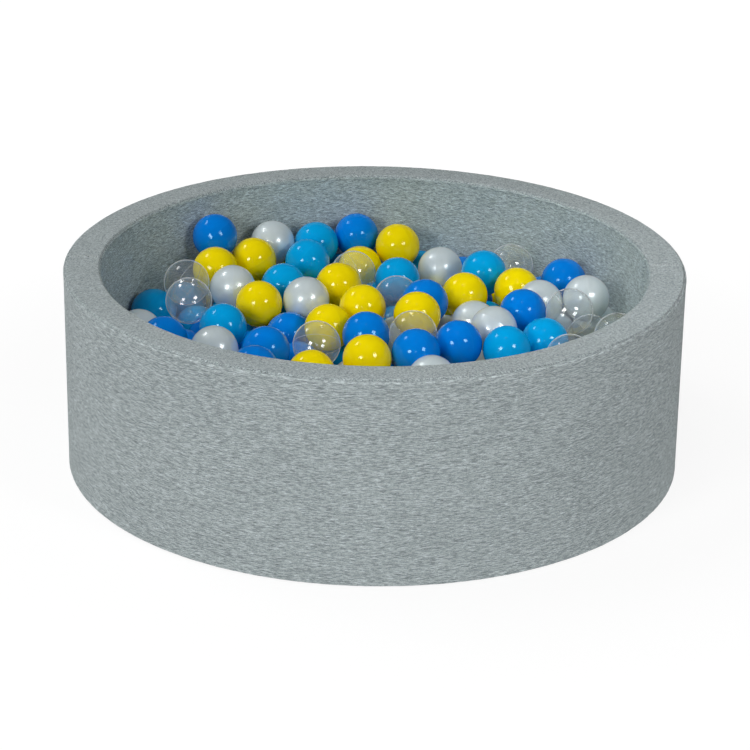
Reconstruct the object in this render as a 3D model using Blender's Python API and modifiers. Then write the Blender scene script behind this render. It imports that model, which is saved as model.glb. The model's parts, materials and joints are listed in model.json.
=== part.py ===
# Ball pit: a foam ring and a foam mat in a zipped jersey cover, filled with plastic play balls.
# Metres, +Z up. The origin is the middle of the underside, on the floor, and the front faces -Y.

import math

import bmesh
import bpy
import numpy as np
from mathutils import Matrix, Vector

# Ring and mat
foam_diameter = 0.900
wall_foam_height = 0.298
wall_foam_thickness = 0.050
base_foam_thickness = 0.050
foam_joint = 0.0006  # slit where the two ends of the wall strip butt

# Cover
cloth_thickness = 0.0015
clearance = 0.0003  # between pieces that touch
edge_round = 0.006  # outer radius of the cover's corners
rim_seam = 0.0006  # between the two halves of the rim panel

# Balls
ball_diameter = 0.070
ball_clearance = 0.0004

# Zip
zip_height = 0.024  # from the ground to the middle of the chain
tape_width = 0.024
tape_thickness = 0.0008
chain_width = 0.006
chain_thickness = 0.0015
stop_length = 0.005
slider_length = 0.011
slider_width = 0.009
slider_thickness = 0.0025
slider_bevel = 0.0008
bridge_radius = 0.0007
bridge_window = 0.0021  # slider's face to the underside of the bridge bar
bridge_inset = 0.0012  # slider's end to the middle of a bridge leg
pull_length = 0.024
pull_width = 0.0062
pull_thickness = 0.0012
pull_bevel = 0.0004
eye_width = 0.0028
eye_clearance = 0.0004  # between the bridge's corner and the end of the eye

# How finely the round pieces are cut
ring_steps = 48
corner_steps = 2
zip_start_steps = 2  # from +X round to the zip's right end
zip_steps = 20
ball_segments = 12
ball_rings = 7
hidden_ball_segments = 8
hidden_ball_rings = 4
fill_rounds = 2

# The photograph's view, from which the visible balls are placed
view_distance_share = 4.386  # of the pit's outer diameter
view_target_share = 0.794  # of the heap's height
view_pitch = math.radians(22.11)
view_roll = math.radians(0.848)
view_focal_pixels = 2679.2
view_centre_pixel = (373.6, 357.4)

# The heap, in shares of a ball's diameter
heap_depth_share = 1.949  # floor panel to the centres of the uppermost balls, on average
hidden_spacing_share = 1.093  # between the balls of one hidden layer
hidden_rise_share = 0.671  # from one hidden layer to the next
crowding_share = 0.80  # a hidden ball nearer than this to a visible one is left out
hole_share = 0.043  # a ball that could fall further than this gets another one under it

# The heap's slope, and how far forward of the middle the rim hides it
heap_rise_share = 0.11  # towards the back
heap_fall_share = 0.042  # towards the right
front_share = 0.50  # of the inner radius

# Each visible ball that is a piece by itself: colour, pixel across, pixel down, and its level above or
# below the heap's surface as a share of a ball's radius.
single_ball_shares = [
    ("blue", 215.0, 236.3, 0.0),
    ("white", 272.6, 242.7, 0.0),
    ("light_blue", 316.5, 245.1, 0.0),
    ("light_blue", 308.5, 263.6, 0.0),
    ("blue", 356.6, 235.9, 0.0),
    ("light_blue", 284.0, 285.9, 0.0),
    ("clear", 353.9, 273.6, 0.0),
    ("yellow", 338.4, 286.1, 0.0),
    ("white", 232.7, 287.9, 0.0),
    ("clear", 185.7, 283.5, 0.3),
    ("clear", 188.9, 300.8, 0.0),
    ("yellow", 259.0, 304.0, 0.0),
    ("white", 306.0, 300.9, 0.0),
    ("blue", 163.8, 340.0, -0.15),
    ("light_blue", 223.8, 327.8, 0.0),
    ("white", 213.8, 350.1, 0.0),
    ("blue", 265.4, 351.2, -0.3),
    ("blue", 254.3, 369.6, -0.3),
    ("clear", 316.3, 345.4, 0.35),
    ("yellow", 328.8, 328.3, -0.25),
    ("yellow", 362.4, 307.9, 0.0),
    ("yellow", 397.7, 245.2, 0.0),
    ("white", 440.5, 269.3, 0.0),
    ("light_blue", 484.1, 273.3, 0.15),
    ("yellow", 465.0, 296.2, 0.0),
    ("blue", 563.4, 281.0, 0.0),
    ("white", 585.1, 298.9, 0.0),
    ("blue", 523.0, 312.2, 0.0),
    ("clear", 569.3, 312.3, 0.3),
    ("light_blue", 507.0, 349.7, 0.0),
    ("blue", 416.2, 353.9, 0.0),
    ("yellow", 417.2, 315.0, 0.0),
    ("blue", 424.0, 302.8, 0.25),
    ("clear", 413.4, 334.0, 0.0),
    ("clear", 569.5, 357.8, -0.3),
    ("white", 139.5, 332.6, -0.3),
    ("clear", 617.6, 336.5, -0.3),
    ("blue", 365.9, 335.9, 0.0),
    ("yellow", 367.1, 361.4, 0.0),
    ("blue", 458.0, 344.0, 0.0),
    ("light_blue", 544.5, 342.3, 0.0),
    ("yellow", 253.9, 260.3, 0.0),
    ("yellow", 215.6, 270.8, 0.0),
]

# Each visible ball that lies under others, in the same form. These are joined with the hidden ones.
joined_ball_shares = [
    ("yellow", 360.2, 268.3, -0.3),
    ("blue", 154.3, 313.3, -0.6),
    ("blue", 287.5, 335.5, -0.6),
    ("blue", 298.0, 365.0, -0.85),
    ("yellow", 311.0, 374.2, 0.0),
    ("light_blue", 397.2, 278.9, 0.0),
    ("light_blue", 418.0, 272.0, -1.0),
    ("clear", 512.0, 268.0, 0.0),
    ("yellow", 516.0, 291.0, 0.0),
    ("white", 540.3, 302.6, 0.0),
    ("white", 431.7, 379.4, 0.0),
    ("clear", 397.0, 300.0, -0.45),
    ("white", 474.2, 324.0, -0.15),
    ("white", 493.6, 329.8, 0.0),
    ("clear", 589.5, 337.3, -0.45),
    ("white", 595.2, 325.5, -0.85),
    ("white", 398.5, 338.5, -1.0),
    ("white", 446.0, 338.0, -1.3),
    ("blue", 463.0, 279.0, -1.15),
    ("blue", 541.0, 297.0, -1.0),
    ("light_blue", 184.0, 295.0, -1.3),
]

# Derived sizes
skin = cloth_thickness + clearance
outer_radius = foam_diameter / 2 + skin
inner_radius = foam_diameter / 2 - wall_foam_thickness - skin
pit_height = wall_foam_height + 2 * skin
base_foam_top = skin + base_foam_thickness
floor_top = base_foam_top + skin
ball_radius = ball_diameter / 2
heap_top = floor_top + heap_depth_share * ball_diameter
step_angle = 2 * math.pi / ring_steps
inner_facet_radius = inner_radius * math.cos(step_angle / 2)  # to the middle of the inner wall's flats

colours = {
    "jersey": (0.42, 0.44, 0.44),
    "foam": (0.86, 0.84, 0.76),
    "tape": (0.36, 0.38, 0.38),
    "chain": (0.30, 0.31, 0.31),
    "metal": (0.55, 0.55, 0.53),
    "blue": (0.0, 0.13, 0.56),
    "light_blue": (0.01, 0.28, 0.58),
    "yellow": (0.70, 0.58, 0.0),
    "white": (0.78, 0.80, 0.80),
    "clear": (0.72, 0.76, 0.76),
    "mixed": (0.16, 0.34, 0.50),
}
glossy = {"blue", "light_blue", "yellow", "white", "clear", "mixed", "metal"}


def clear_scene():
    for thing in list(bpy.data.objects):
        bpy.data.objects.remove(thing, do_unlink=True)


def material_of(finish):
    made = bpy.data.materials.get(finish)
    if made:
        return made
    made = bpy.data.materials.new(finish)
    made.use_nodes = True
    shader = made.node_tree.nodes["Principled BSDF"]
    shader.inputs["Base Color"].default_value = (*colours[finish], 1.0)
    shader.inputs["Roughness"].default_value = 0.25 if finish in glossy else 0.9
    shader.inputs["Metallic"].default_value = 1.0 if finish == "metal" else 0.0
    shader.inputs["Transmission Weight"].default_value = 0.9 if finish == "clear" else 0.0
    made.diffuse_color = (*colours[finish], 1.0)
    return made


def object_of(name, mesh, finish):
    if not mesh.materials:
        mesh.materials.append(material_of(finish))
    made = bpy.data.objects.new(name, mesh)
    parts.objects.link(made)
    return made


def finished_mesh(name, work):
    """The bmesh as mesh data, its faces out and its round sides smooth."""
    bmesh.ops.recalc_face_normals(work, faces=work.faces)
    mesh = bpy.data.meshes.new(name)
    work.to_mesh(mesh)
    work.free()
    mesh.shade_smooth()
    mesh.set_sharp_from_angle(angle=math.radians(35))
    return mesh


def arc(centre, radius, start, end):
    """Points of a quarter corner in the section plane, angles in quarter turns."""
    points = []
    for i in range(corner_steps + 1):
        angle = math.radians(90) * (start + (end - start) * i / corner_steps)
        points.append((centre[0] + radius * math.cos(angle), centre[1] + radius * math.sin(angle)))
    return points


def turned(name, section, finish):
    """A closed section of (radius, height) points, outer side first, turned all the way round."""
    mesh = bpy.data.meshes.new(name)
    edges = [(i, (i + 1) % len(section)) for i in range(len(section))]
    mesh.from_pydata([(radius, 0, height) for radius, height in section], edges, [])
    made = object_of(name, mesh, finish)
    screw = made.modifiers.new("Screw", "SCREW")
    screw.angle = 2 * math.pi
    screw.steps = ring_steps
    screw.render_steps = ring_steps
    screw.use_merge_vertices = True
    screw.merge_threshold = clearance / 10
    screw.use_smooth_shade = True
    return made


def swept(name, section, start, sweep, steps, finish):
    """A closed section of (radius, height) points, swept part of the way round, with both ends closed."""
    work = bmesh.new()
    rings = []
    for i in range(steps + 1):
        angle = start + sweep * i / steps
        ring = [
            work.verts.new((radius * math.cos(angle), radius * math.sin(angle), height))
            for radius, height in section
        ]
        rings.append(ring)
    for ring, following in zip(rings, rings[1:]):
        for i in range(len(section)):
            j = (i + 1) % len(section)
            work.faces.new((ring[i], ring[j], following[j], following[i]))
    work.faces.new(rings[0])
    work.faces.new(rings[-1])
    return object_of(name, finished_mesh(name, work), finish)


def disc(name, radius, bottom, thickness, finish):
    bpy.ops.mesh.primitive_cylinder_add(
        vertices=ring_steps, radius=radius, depth=thickness, location=(0, 0, bottom + thickness / 2)
    )
    made = bpy.context.object
    made.name = name
    made.data.name = name
    made.data.materials.append(material_of(finish))
    for holder in list(made.users_collection):
        holder.objects.unlink(made)
    parts.objects.link(made)
    return made


def rectangle(inner, outer, bottom, top):
    return [(outer, top), (outer, bottom), (inner, bottom), (inner, top)]


def make_foam():
    chamfer = edge_round - skin
    outer = foam_diameter / 2
    inner = outer - wall_foam_thickness
    top = pit_height - skin
    section = [
        (outer - chamfer, top),
        (outer, top - chamfer),
        (outer, skin + chamfer),
        (outer - chamfer, skin),
        (inner, skin),
        (inner, top - chamfer),
        (inner + chamfer, top),
    ]
    slit = foam_joint / outer
    back = math.pi / 2
    swept("wall_foam", section, back + slit / 2, 2 * math.pi - slit, ring_steps, "foam")
    disc("base_foam", inner - clearance, skin, base_foam_thickness, "foam")


def make_cover():
    """Jersey panels: each wraps the foam a clearance away, and the rim and base panels close the flat sides."""
    inside = edge_round - cloth_thickness
    top = pit_height - edge_round
    ground = edge_round
    outer = outer_radius - edge_round
    section = arc((outer, top), edge_round, 1, 0) + arc((outer, ground), edge_round, 0, -1)
    section += arc((outer, ground), inside, -1, 0) + arc((outer, top), inside, 0, 1)
    turned("cover_outer_wall", section, "jersey")

    inner = inner_radius + edge_round
    section = arc((inner, top), inside, 1, 2)
    section += [(inner_radius + cloth_thickness, base_foam_top + clearance)]
    section += [(inner_radius, base_foam_top + clearance)]
    section += arc((inner, top), edge_round, 2, 1)
    turned("cover_inner_wall", section, "jersey")

    rim = rectangle(inner + clearance, outer - clearance, pit_height - cloth_thickness, pit_height)
    seam = rim_seam / outer
    for name, start in (("cover_rim_back", 0), ("cover_rim_front", math.pi)):
        swept(name, rim, start + seam / 2, math.pi - seam, ring_steps // 2, "jersey")
    disc("cover_floor", inner_radius - clearance, base_foam_top + clearance, cloth_thickness, "jersey")
    disc("cover_base", outer - clearance, 0, cloth_thickness, "jersey")


def box(name, size, bevel, finish):
    """A bevelled block about its own origin: x outwards, y along the zip, z up."""
    work = bmesh.new()
    bmesh.ops.create_cube(work, size=1, matrix=Matrix.Diagonal((*size, 1)))
    bmesh.ops.bevel(work, geom=work.edges, offset=bevel, segments=1, affect="EDGES")
    return object_of(name, finished_mesh(name, work), finish)


def cutter_of(made):
    parts.objects.unlink(made)
    cutters.objects.link(made)
    made.hide_render = True
    made.display_type = "WIRE"
    return made


def boolean(made, other, operation):
    step = made.modifiers.new(operation.title(), "BOOLEAN")
    step.operation = operation
    step.object = other
    step.solver = "EXACT"


def bridge_bar(name, reach):
    """The slider's bridge: a bar along the zip with a leg down into the body at each end, about the bar's middle."""
    depth = bridge_window + bridge_radius + slider_thickness / 2
    corners = [(-depth, -reach, 0), (0, -reach, 0), (0, reach, 0), (-depth, reach, 0)]
    curve = bpy.data.curves.new(name, "CURVE")
    curve.dimensions = "3D"
    curve.bevel_depth = bridge_radius
    curve.bevel_resolution = 1
    curve.use_fill_caps = True
    spline = curve.splines.new("POLY")
    spline.points.add(len(corners) - 1)
    for point, place in zip(spline.points, corners):
        point.co = (*place, 1)
    drawn = bpy.data.objects.new(name, curve)
    parts.objects.link(drawn)
    bpy.context.view_layer.update()
    seen = drawn.evaluated_get(bpy.context.evaluated_depsgraph_get())
    mesh = bpy.data.meshes.new_from_object(seen)
    bpy.data.objects.remove(drawn)
    work = bmesh.new()
    work.from_mesh(mesh)
    bmesh.ops.remove_doubles(work, verts=work.verts, dist=clearance / 10)
    return object_of(name, finished_mesh(name, work), "metal")


def make_zip():
    low, high = zip_height - tape_width / 2, zip_height + tape_width / 2
    start, sweep = zip_start_steps * step_angle, zip_steps * step_angle
    tape_face = outer_radius + clearance + tape_thickness
    tape = rectangle(outer_radius + clearance, tape_face, low, high)
    swept("zip_tape", tape, start, sweep, zip_steps, "tape")

    chain_back = tape_face + clearance
    chain_face = chain_back + chain_thickness
    low, high = zip_height - chain_width / 2, zip_height + chain_width / 2
    chain = rectangle(chain_back, chain_face, low, high)
    first, last = start + step_angle, start + sweep - step_angle
    swept("zip_chain", chain, first, last - first, zip_steps - 2, "chain")
    turn = stop_length / chain_back
    free = clearance / chain_back
    swept("zip_stop_right", chain, first - free - turn, turn, 1, "metal")
    swept("zip_stop_left", chain, last + free, turn, 1, "metal")

    # The slider rests at the left end of the zip, and turns about the pit's own axis when it is drawn.
    park = last - step_angle
    outwards = Matrix.Rotation(park, 4, "Z")
    body_middle = chain_face + clearance + slider_thickness / 2
    slider = box("zip_slider", (slider_thickness, slider_length, slider_width), slider_bevel, "metal")
    slider.data.transform(Matrix.Translation((body_middle, 0, zip_height)))
    slider.matrix_world = outwards
    bridge_reach = slider_length / 2 - bridge_inset
    hinge_radius = body_middle + slider_thickness / 2 + bridge_window / 2
    bridge_top = bridge_window / 2 + 2 * bridge_radius
    bridge = cutter_of(bridge_bar("bridge", bridge_reach))
    bridge.data.transform(Matrix.Translation((hinge_radius + bridge_top - bridge_radius, 0, zip_height)))
    bridge.matrix_world = outwards
    boolean(slider, bridge, "UNION")

    # The pull lies along the zip. The strip behind its eye runs under the bridge, and is its hinge.
    strip = pull_thickness
    pull = box("zip_pull", (pull_thickness, pull_length, pull_width), pull_bevel, "metal")
    pull.data.transform(Matrix.Translation((0, strip / 2 - pull_length / 2, 0)))
    eye_end = math.hypot(bridge_reach + bridge_radius, bridge_top) + eye_clearance
    eye_length = eye_end - strip / 2
    eye = cutter_of(box("eye", (2 * pull_thickness, eye_length, eye_width), pull_bevel, "metal"))
    eye.data.transform(Matrix.Translation((0, -strip / 2 - eye_length / 2, 0)))
    for made in (pull, eye):
        made.matrix_world = outwards @ Matrix.Translation((hinge_radius, 0, zip_height))
    boolean(pull, eye, "DIFFERENCE")


def lengths_of(offsets):
    """Length of each row. Written out, so that every computer gives the same last digit."""
    x, y, z = offsets.T
    return np.sqrt(x * x + y * y + z * z)


def sight_lines(pixels):
    """The eye, and the direction from it through each pixel of the photograph."""
    back = np.array([0.0, -math.cos(view_pitch), math.sin(view_pitch)])
    up = np.array([0.0, math.sin(view_pitch), math.cos(view_pitch)])
    right = np.array([1.0, 0.0, 0.0])
    target = np.array([0.0, 0.0, view_target_share * heap_top])
    eye = target + back * view_distance_share * 2 * outer_radius
    across, down = (pixels - np.array(view_centre_pixel)).T / view_focal_pixels
    level = math.cos(view_roll) * across + math.sin(view_roll) * down
    plumb = math.cos(view_roll) * down - math.sin(view_roll) * across
    lines = level[:, None] * right - plumb[:, None] * up - back
    return eye, lines / lengths_of(lines)[:, None]


def meet_heap(eye, lines, lifts):
    """Where each sight line meets the heap's leaning surface, raised by the ball's own lift."""
    slope = np.array([-heap_fall_share, heap_rise_share, -1.0])
    fall = lines[:, 0] * slope[0] + lines[:, 1] * slope[1] + lines[:, 2] * slope[2]
    start = eye[0] * slope[0] + eye[1] * slope[1] + eye[2] * slope[2]
    reach = -(start + heap_top + lifts) / fall
    return eye + lines * reach[:, None]


def hidden_balls(visible):
    """Layers of balls: under the visible ones, and as high as the heap where the front rim hides it."""
    spacing = hidden_spacing_share * ball_diameter
    rise = hidden_rise_share * ball_diameter
    count = int(inner_radius / spacing) + 1
    found = []
    for layer in range(int(heap_top / rise) + 1):
        height = floor_top + ball_radius + layer * rise
        shift = spacing / 2 * (layer % 2)
        for i in range(-count, count + 1):
            for j in range(-count, count + 1):
                place = np.array([i * spacing + shift, j * spacing + shift, height])
                inside = math.hypot(place[0], place[1]) < inner_radius - ball_radius
                seen = place[1] > -front_share * inner_radius
                buried = height < heap_top - ball_radius * seen
                crowded = (lengths_of(visible - place) < crowding_share * ball_diameter).any()
                if inside and buried and not crowded:
                    found.append(place)
    return np.array(found)


def settle(balls, eye, lines):
    """Moves the balls apart and down until none overlaps, the visible ones along their sight lines."""
    rounds, passes, quiet_share, pull_share, hold_share, near_share = 400, 4, 0.75, 0.023, 0.3, 1.25
    apart = ball_diameter + ball_clearance
    widest = inner_facet_radius - ball_radius - ball_clearance
    lowest = floor_top + ball_radius + ball_clearance
    first, second = np.triu_indices(len(balls), 1)
    count = len(lines)
    for turn in range(rounds):
        if turn % 10 == 0:
            near = lengths_of(balls[second] - balls[first]) < near_share * apart
            one, other = first[near], second[near]
        guided = turn < quiet_share * rounds
        if guided:
            balls[:, 2] -= pull_share * ball_radius * (1 - turn / rounds)
        for _ in range(passes):
            if guided:
                x, y, z = (balls[:count] - eye).T
                reach = x * lines[:, 0] + y * lines[:, 1] + z * lines[:, 2]
                balls[:count] += (eye + lines * reach[:, None] - balls[:count]) * hold_share
            offset = balls[other] - balls[one]
            length = lengths_of(offset)
            close = length < apart
            push = offset[close] * ((apart - length[close]) / length[close] / 2)[:, None]
            move = np.zeros_like(balls)
            np.add.at(move, one[close], -push)
            np.add.at(move, other[close], push)
            balls += move
            x, y = balls[:, 0], balls[:, 1]
            away = np.sqrt(x * x + y * y)
            balls[:, :2] *= np.where(away > widest, widest / np.maximum(away, widest), 1.0)[:, None]
            balls[:, 2] = np.maximum(balls[:, 2], lowest)
    return balls


def drop(balls):
    """Lets each ball that rests on nothing fall straight down onto what lies under it."""
    apart = ball_diameter + ball_clearance
    lowest = floor_top + ball_radius + ball_clearance
    order = np.argsort(balls[:, 2], kind="stable")
    for rank, i in enumerate(order):
        offset = balls[i] - balls[order[:rank]]
        if (lengths_of(offset) < apart + ball_clearance).any():
            continue
        spread = offset[:, 0] ** 2 + offset[:, 1] ** 2
        under = spread < apart**2
        rests = balls[order[:rank], 2][under] + np.sqrt(apart**2 - spread[under])
        balls[i, 2] = max([lowest, *rests])
    return balls


def whole_heap(seen, eye, lines):
    """Every ball at rest: the visible ones first, then the hidden ones, with the holes under them filled."""
    balls = settle(np.vstack([seen, hidden_balls(seen)]), eye, lines)
    below = np.array([0.0, 0.0, ball_diameter + ball_clearance])
    for _ in range(fill_rounds):
        fall = balls[:, 2] - drop(balls.copy())[:, 2]
        fillers = balls[fall > hole_share * ball_diameter] - below
        balls = settle(np.vstack([balls, fillers]), eye, lines)
    return drop(balls)


def contacts_of(place, others):
    """The directions in which a ball touches the others, the wall and the floor panel."""
    slack = 2 * ball_clearance
    lengths = lengths_of(others - place)
    near = lengths < ball_diameter + slack
    directions = [Vector(offset).normalized() for offset in others[near] - place]
    away = Vector((place[0], place[1], 0))
    if away.length > inner_facet_radius - ball_radius - slack:
        directions.append(away.normalized())
    if place[2] < floor_top + ball_radius + slack:
        directions.append(Vector((0, 0, -1)))
    return directions


def touch(verts, centre, directions, kept=()):
    """Moves the vertex nearest each contact onto it, so that the faceted ball touches where a round one does."""
    loose = [vert for vert in verts if vert not in kept]
    for direction in directions:
        nearest = max(loose, key=lambda vert: (vert.co - centre).dot(direction))
        nearest.co = centre + direction * ball_radius


def single_ball(name, place, others, colour):
    work = bmesh.new()
    bmesh.ops.create_uvsphere(work, u_segments=ball_segments, v_segments=ball_rings, radius=ball_radius)
    touch(work.verts, Vector(), contacts_of(place, others))
    bmesh.ops.delete(work, geom=work.faces, context="FACES_ONLY")
    bmesh.ops.convex_hull(work, input=work.verts)
    ball = object_of(name, finished_mesh(name, work), colour)
    ball.location = place


def chain_of(places):
    """Pairs of balls that link all of them by short steps, each taken next to those linked already."""
    linked, waiting, pairs = [0], list(range(1, len(places))), []
    nearest = {i: 0 for i in waiting}
    while waiting:
        best = min(waiting, key=lambda i: lengths_of((places[i] - places[nearest[i]])[None])[0])
        pairs.append((nearest[best], best))
        waiting.remove(best)
        linked.append(best)
        for i in waiting:
            old = lengths_of((places[i] - places[nearest[i]])[None])[0]
            if lengths_of((places[i] - places[best])[None])[0] < old:
                nearest[i] = best
    return pairs


def joined_balls(name, places, others, finish):
    """Balls as one body: each is tied to its neighbour by a neck between the two faces that look at each other."""
    work = bmesh.new()
    faces, verts = [], []
    for place in places:
        known = set(work.faces)
        made = bmesh.ops.create_uvsphere(
            work,
            u_segments=hidden_ball_segments,
            v_segments=hidden_ball_rings,
            radius=ball_radius,
            matrix=Matrix.Translation(place),
        )
        verts.append(made["verts"])
        faces.append([face for face in work.faces if face not in known])
    necks = set()
    for a, b in chain_of(places):
        across = Vector(places[b] - places[a]).normalized()
        work.normal_update()
        one, other = facing_pair(faces[a], faces[b], across)
        faces[a].remove(one)
        faces[b].remove(other)
        loops = [*one.edges, *other.edges]
        necks.update(one.verts, other.verts)
        bmesh.ops.delete(work, geom=[one, other], context="FACES_ONLY")
        bmesh.ops.bridge_loops(work, edges=loops)
    for place, own in zip(places, verts):
        touch(own, Vector(place), contacts_of(place, others), necks)
    return object_of(name, finished_mesh(name, work), finish)


def facing_pair(ones, others, across):
    """A face of each ball, alike and parallel, that look at each other most directly."""
    parallel_share = 0.999
    ranked = sorted(ones, key=lambda face: -face.normal.dot(across))
    for one in ranked:
        for other in others:
            if -other.normal.dot(one.normal) > parallel_share:
                return one, other
    return ranked[0], min(others, key=lambda face: face.normal.dot(across))


def make_balls():
    visible = single_ball_shares + joined_ball_shares
    pixels = np.array([(across, down) for _, across, down, _ in visible])
    lifts = np.array([level for *_, level in visible]) * ball_radius
    eye, lines = sight_lines(pixels)
    places = whole_heap(meet_heap(eye, lines, lifts), eye, lines)
    singles = len(single_ball_shares)
    for number, (colour, *_) in enumerate(single_ball_shares, 1):
        others = np.delete(places, number - 1, axis=0)
        single_ball(f"ball_{number:02d}_{colour}", places[number - 1], others, colour)
    bottom = places[:, 2] < floor_top + ball_diameter
    bottom[: len(visible)] = False
    middle = ~bottom
    middle[:singles] = False
    joined_balls("balls_bottom_layer", places[bottom], places[~bottom], "mixed")
    joined_balls("balls_middle_layer", places[middle], places[~middle], "mixed")
    first, second = np.triu_indices(len(places), 1)
    print("balls", len(places), "least distance", lengths_of(places[second] - places[first]).min())


clear_scene()
parts = bpy.data.collections.new("ball_pit")
cutters = bpy.data.collections.new("cutters")
for group in (parts, cutters):
    bpy.context.scene.collection.children.link(group)
cutters.hide_render = True
make_foam()
make_cover()
make_zip()
make_balls()
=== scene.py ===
# Ball pit: a foam ring in a grey heathered jersey cover with a zip, full of glossy play balls.
import json
import math

import bmesh
import bpy
import numpy as np
from mathutils import Euler, Matrix, Vector

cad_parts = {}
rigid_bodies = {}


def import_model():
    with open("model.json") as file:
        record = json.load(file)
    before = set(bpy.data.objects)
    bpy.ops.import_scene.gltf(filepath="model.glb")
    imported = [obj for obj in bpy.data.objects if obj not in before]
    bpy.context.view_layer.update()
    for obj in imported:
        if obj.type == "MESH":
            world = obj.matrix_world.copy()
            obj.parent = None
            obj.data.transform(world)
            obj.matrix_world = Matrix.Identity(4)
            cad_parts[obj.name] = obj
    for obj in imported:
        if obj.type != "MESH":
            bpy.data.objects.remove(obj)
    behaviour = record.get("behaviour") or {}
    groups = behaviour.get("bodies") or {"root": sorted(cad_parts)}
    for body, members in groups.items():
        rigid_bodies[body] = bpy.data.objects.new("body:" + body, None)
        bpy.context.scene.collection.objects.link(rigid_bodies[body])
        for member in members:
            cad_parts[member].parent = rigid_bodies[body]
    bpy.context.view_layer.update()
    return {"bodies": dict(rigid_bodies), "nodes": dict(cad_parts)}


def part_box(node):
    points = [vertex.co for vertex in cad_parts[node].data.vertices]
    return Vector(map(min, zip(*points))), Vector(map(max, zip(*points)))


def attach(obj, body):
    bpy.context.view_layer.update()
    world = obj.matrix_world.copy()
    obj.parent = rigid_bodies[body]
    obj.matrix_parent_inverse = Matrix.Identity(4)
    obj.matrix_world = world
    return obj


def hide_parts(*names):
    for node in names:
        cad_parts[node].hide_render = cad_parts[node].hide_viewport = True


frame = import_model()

scene = bpy.context.scene


class Signal:  # one output of a node: sums and products on it add their Math nodes
    def __init__(self, graph, socket):
        self.graph, self.socket = graph, socket

    def math(self, operation, *values):
        return self.graph.add("ShaderNodeMath", {"operation": operation}, dict(enumerate(values)))

    def __add__(self, other):
        return self.math("ADD", self, other)

    def __radd__(self, other):
        return self.math("ADD", other, self)

    def __sub__(self, other):
        return self.math("SUBTRACT", self, other)

    def __rsub__(self, other):
        return self.math("SUBTRACT", other, self)

    def __mul__(self, other):
        return self.math("MULTIPLY", self, other)

    def __rmul__(self, other):
        return self.math("MULTIPLY", other, self)

    def __truediv__(self, other):
        return self.math("DIVIDE", self, other)

    def __mod__(self, other):
        return self.math("MODULO", self, other)

    def __pow__(self, other):
        return self.math("POWER", self, other)

    def __abs__(self):
        return self.math("ABSOLUTE", self)

    def sine(self):
        return self.math("SINE", self)

    def atMost(self, limit):
        return self.math("MINIMUM", self, limit)

    def fold(self):  # a zigzag between 0 and 1 that repeats at every whole number
        return self.math("PINGPONG", self, 0.5) * 2

    def between(self, low, high):  # 0 below low, 1 above high, smooth on the way
        return self.graph.add(
            "ShaderNodeMapRange", {"interpolation_type": "SMOOTHSTEP"},
            {"Value": self, "From Min": low, "From Max": high},
        )


class Graph:  # the nodes of one material, world or shape
    def __init__(self, tree, material=None):
        self.tree, self.material = tree, material

    def add(self, kind, settings=None, values=None, output=0):
        node = self.tree.nodes.new(kind)
        for name, value in (settings or {}).items():
            if name == "stops":
                ramp = node.color_ramp
                while len(ramp.elements) < len(value):
                    ramp.elements.new(0.5)
                for element, (position, colour) in zip(ramp.elements, value):
                    element.position, element.color = position, (*colour, 1)
            else:
                setattr(node, name, value)
        for name, value in (values or {}).items():
            self.feed(node.inputs[name], value)
        return Signal(self, node.outputs[output]) if node.outputs else node

    def addAll(self, kind, settings=None, values=None):  # every output of a node, by its name
        node = self.add(kind, settings, values).socket.node
        return {socket.name: Signal(self, socket) for socket in node.outputs}

    def feed(self, socket, value):
        if isinstance(value, Signal):
            self.tree.links.new(value.socket, socket)
        elif value is not None:
            plain = isinstance(value, tuple) and socket.type == "RGBA" and len(value) == 3
            socket.default_value = (*value, 1) if plain else value

    def split(self, vector):
        return self.addAll("ShaderNodeSeparateXYZ", {}, {0: vector}).values()

    def vector(self, x, y, z):
        return self.add("ShaderNodeCombineXYZ", {}, {"X": x, "Y": y, "Z": z})

    def place(self):  # where a point is on the object, in metres
        return self.add("ShaderNodeTexCoord", {}, {}, "Object")

    def grain(self):  # how far along and across its cloth a point is, in metres
        along, across, _ = self.split(self.add("ShaderNodeUVMap", {"uv_map": "grain"}))
        return along, across

    def blend(self, factor, one, other, mode="MIX"):
        values = {0: factor, 6: one, 7: other}
        return self.add("ShaderNodeMix", {"data_type": "RGBA", "blend_type": mode}, values, 2)

    def noise(self, place, scale=1.0, detail=2.0, roughness=0.5):
        values = {"Vector": place, "Scale": scale, "Detail": detail, "Roughness": roughness}
        return self.add("ShaderNodeTexNoise", {}, values)

    def bump(self, height, distance, strength=1.0):
        return self.add("ShaderNodeBump", {}, {"Height": height, "Distance": distance, "Strength": strength})

    def principled(self, colour, roughness, normal=None, more=None):
        values = {"Base Color": colour, "Roughness": roughness, "Normal": normal, **(more or {})}
        return self.add("ShaderNodeBsdfPrincipled", {}, values)

    def mixShaders(self, factor, one, other):
        return self.add("ShaderNodeMixShader", {}, {0: factor, 1: one, 2: other})


def newMaterial(name):
    material = bpy.data.materials.new(name)
    material.use_nodes = True
    material.node_tree.nodes.clear()
    return Graph(material.node_tree, material)


def surface(graph, shader):
    graph.add("ShaderNodeOutputMaterial", {}, {"Surface": shader})
    return graph.material


def newObject(name, mesh, material=None, body="pit"):
    piece = bpy.data.objects.new(name, mesh)
    scene.collection.objects.link(piece)
    if material:
        mesh.materials.clear()
        mesh.materials.append(material)
    if body:
        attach(piece, body)
    return piece


print("1 camera and light")

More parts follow.
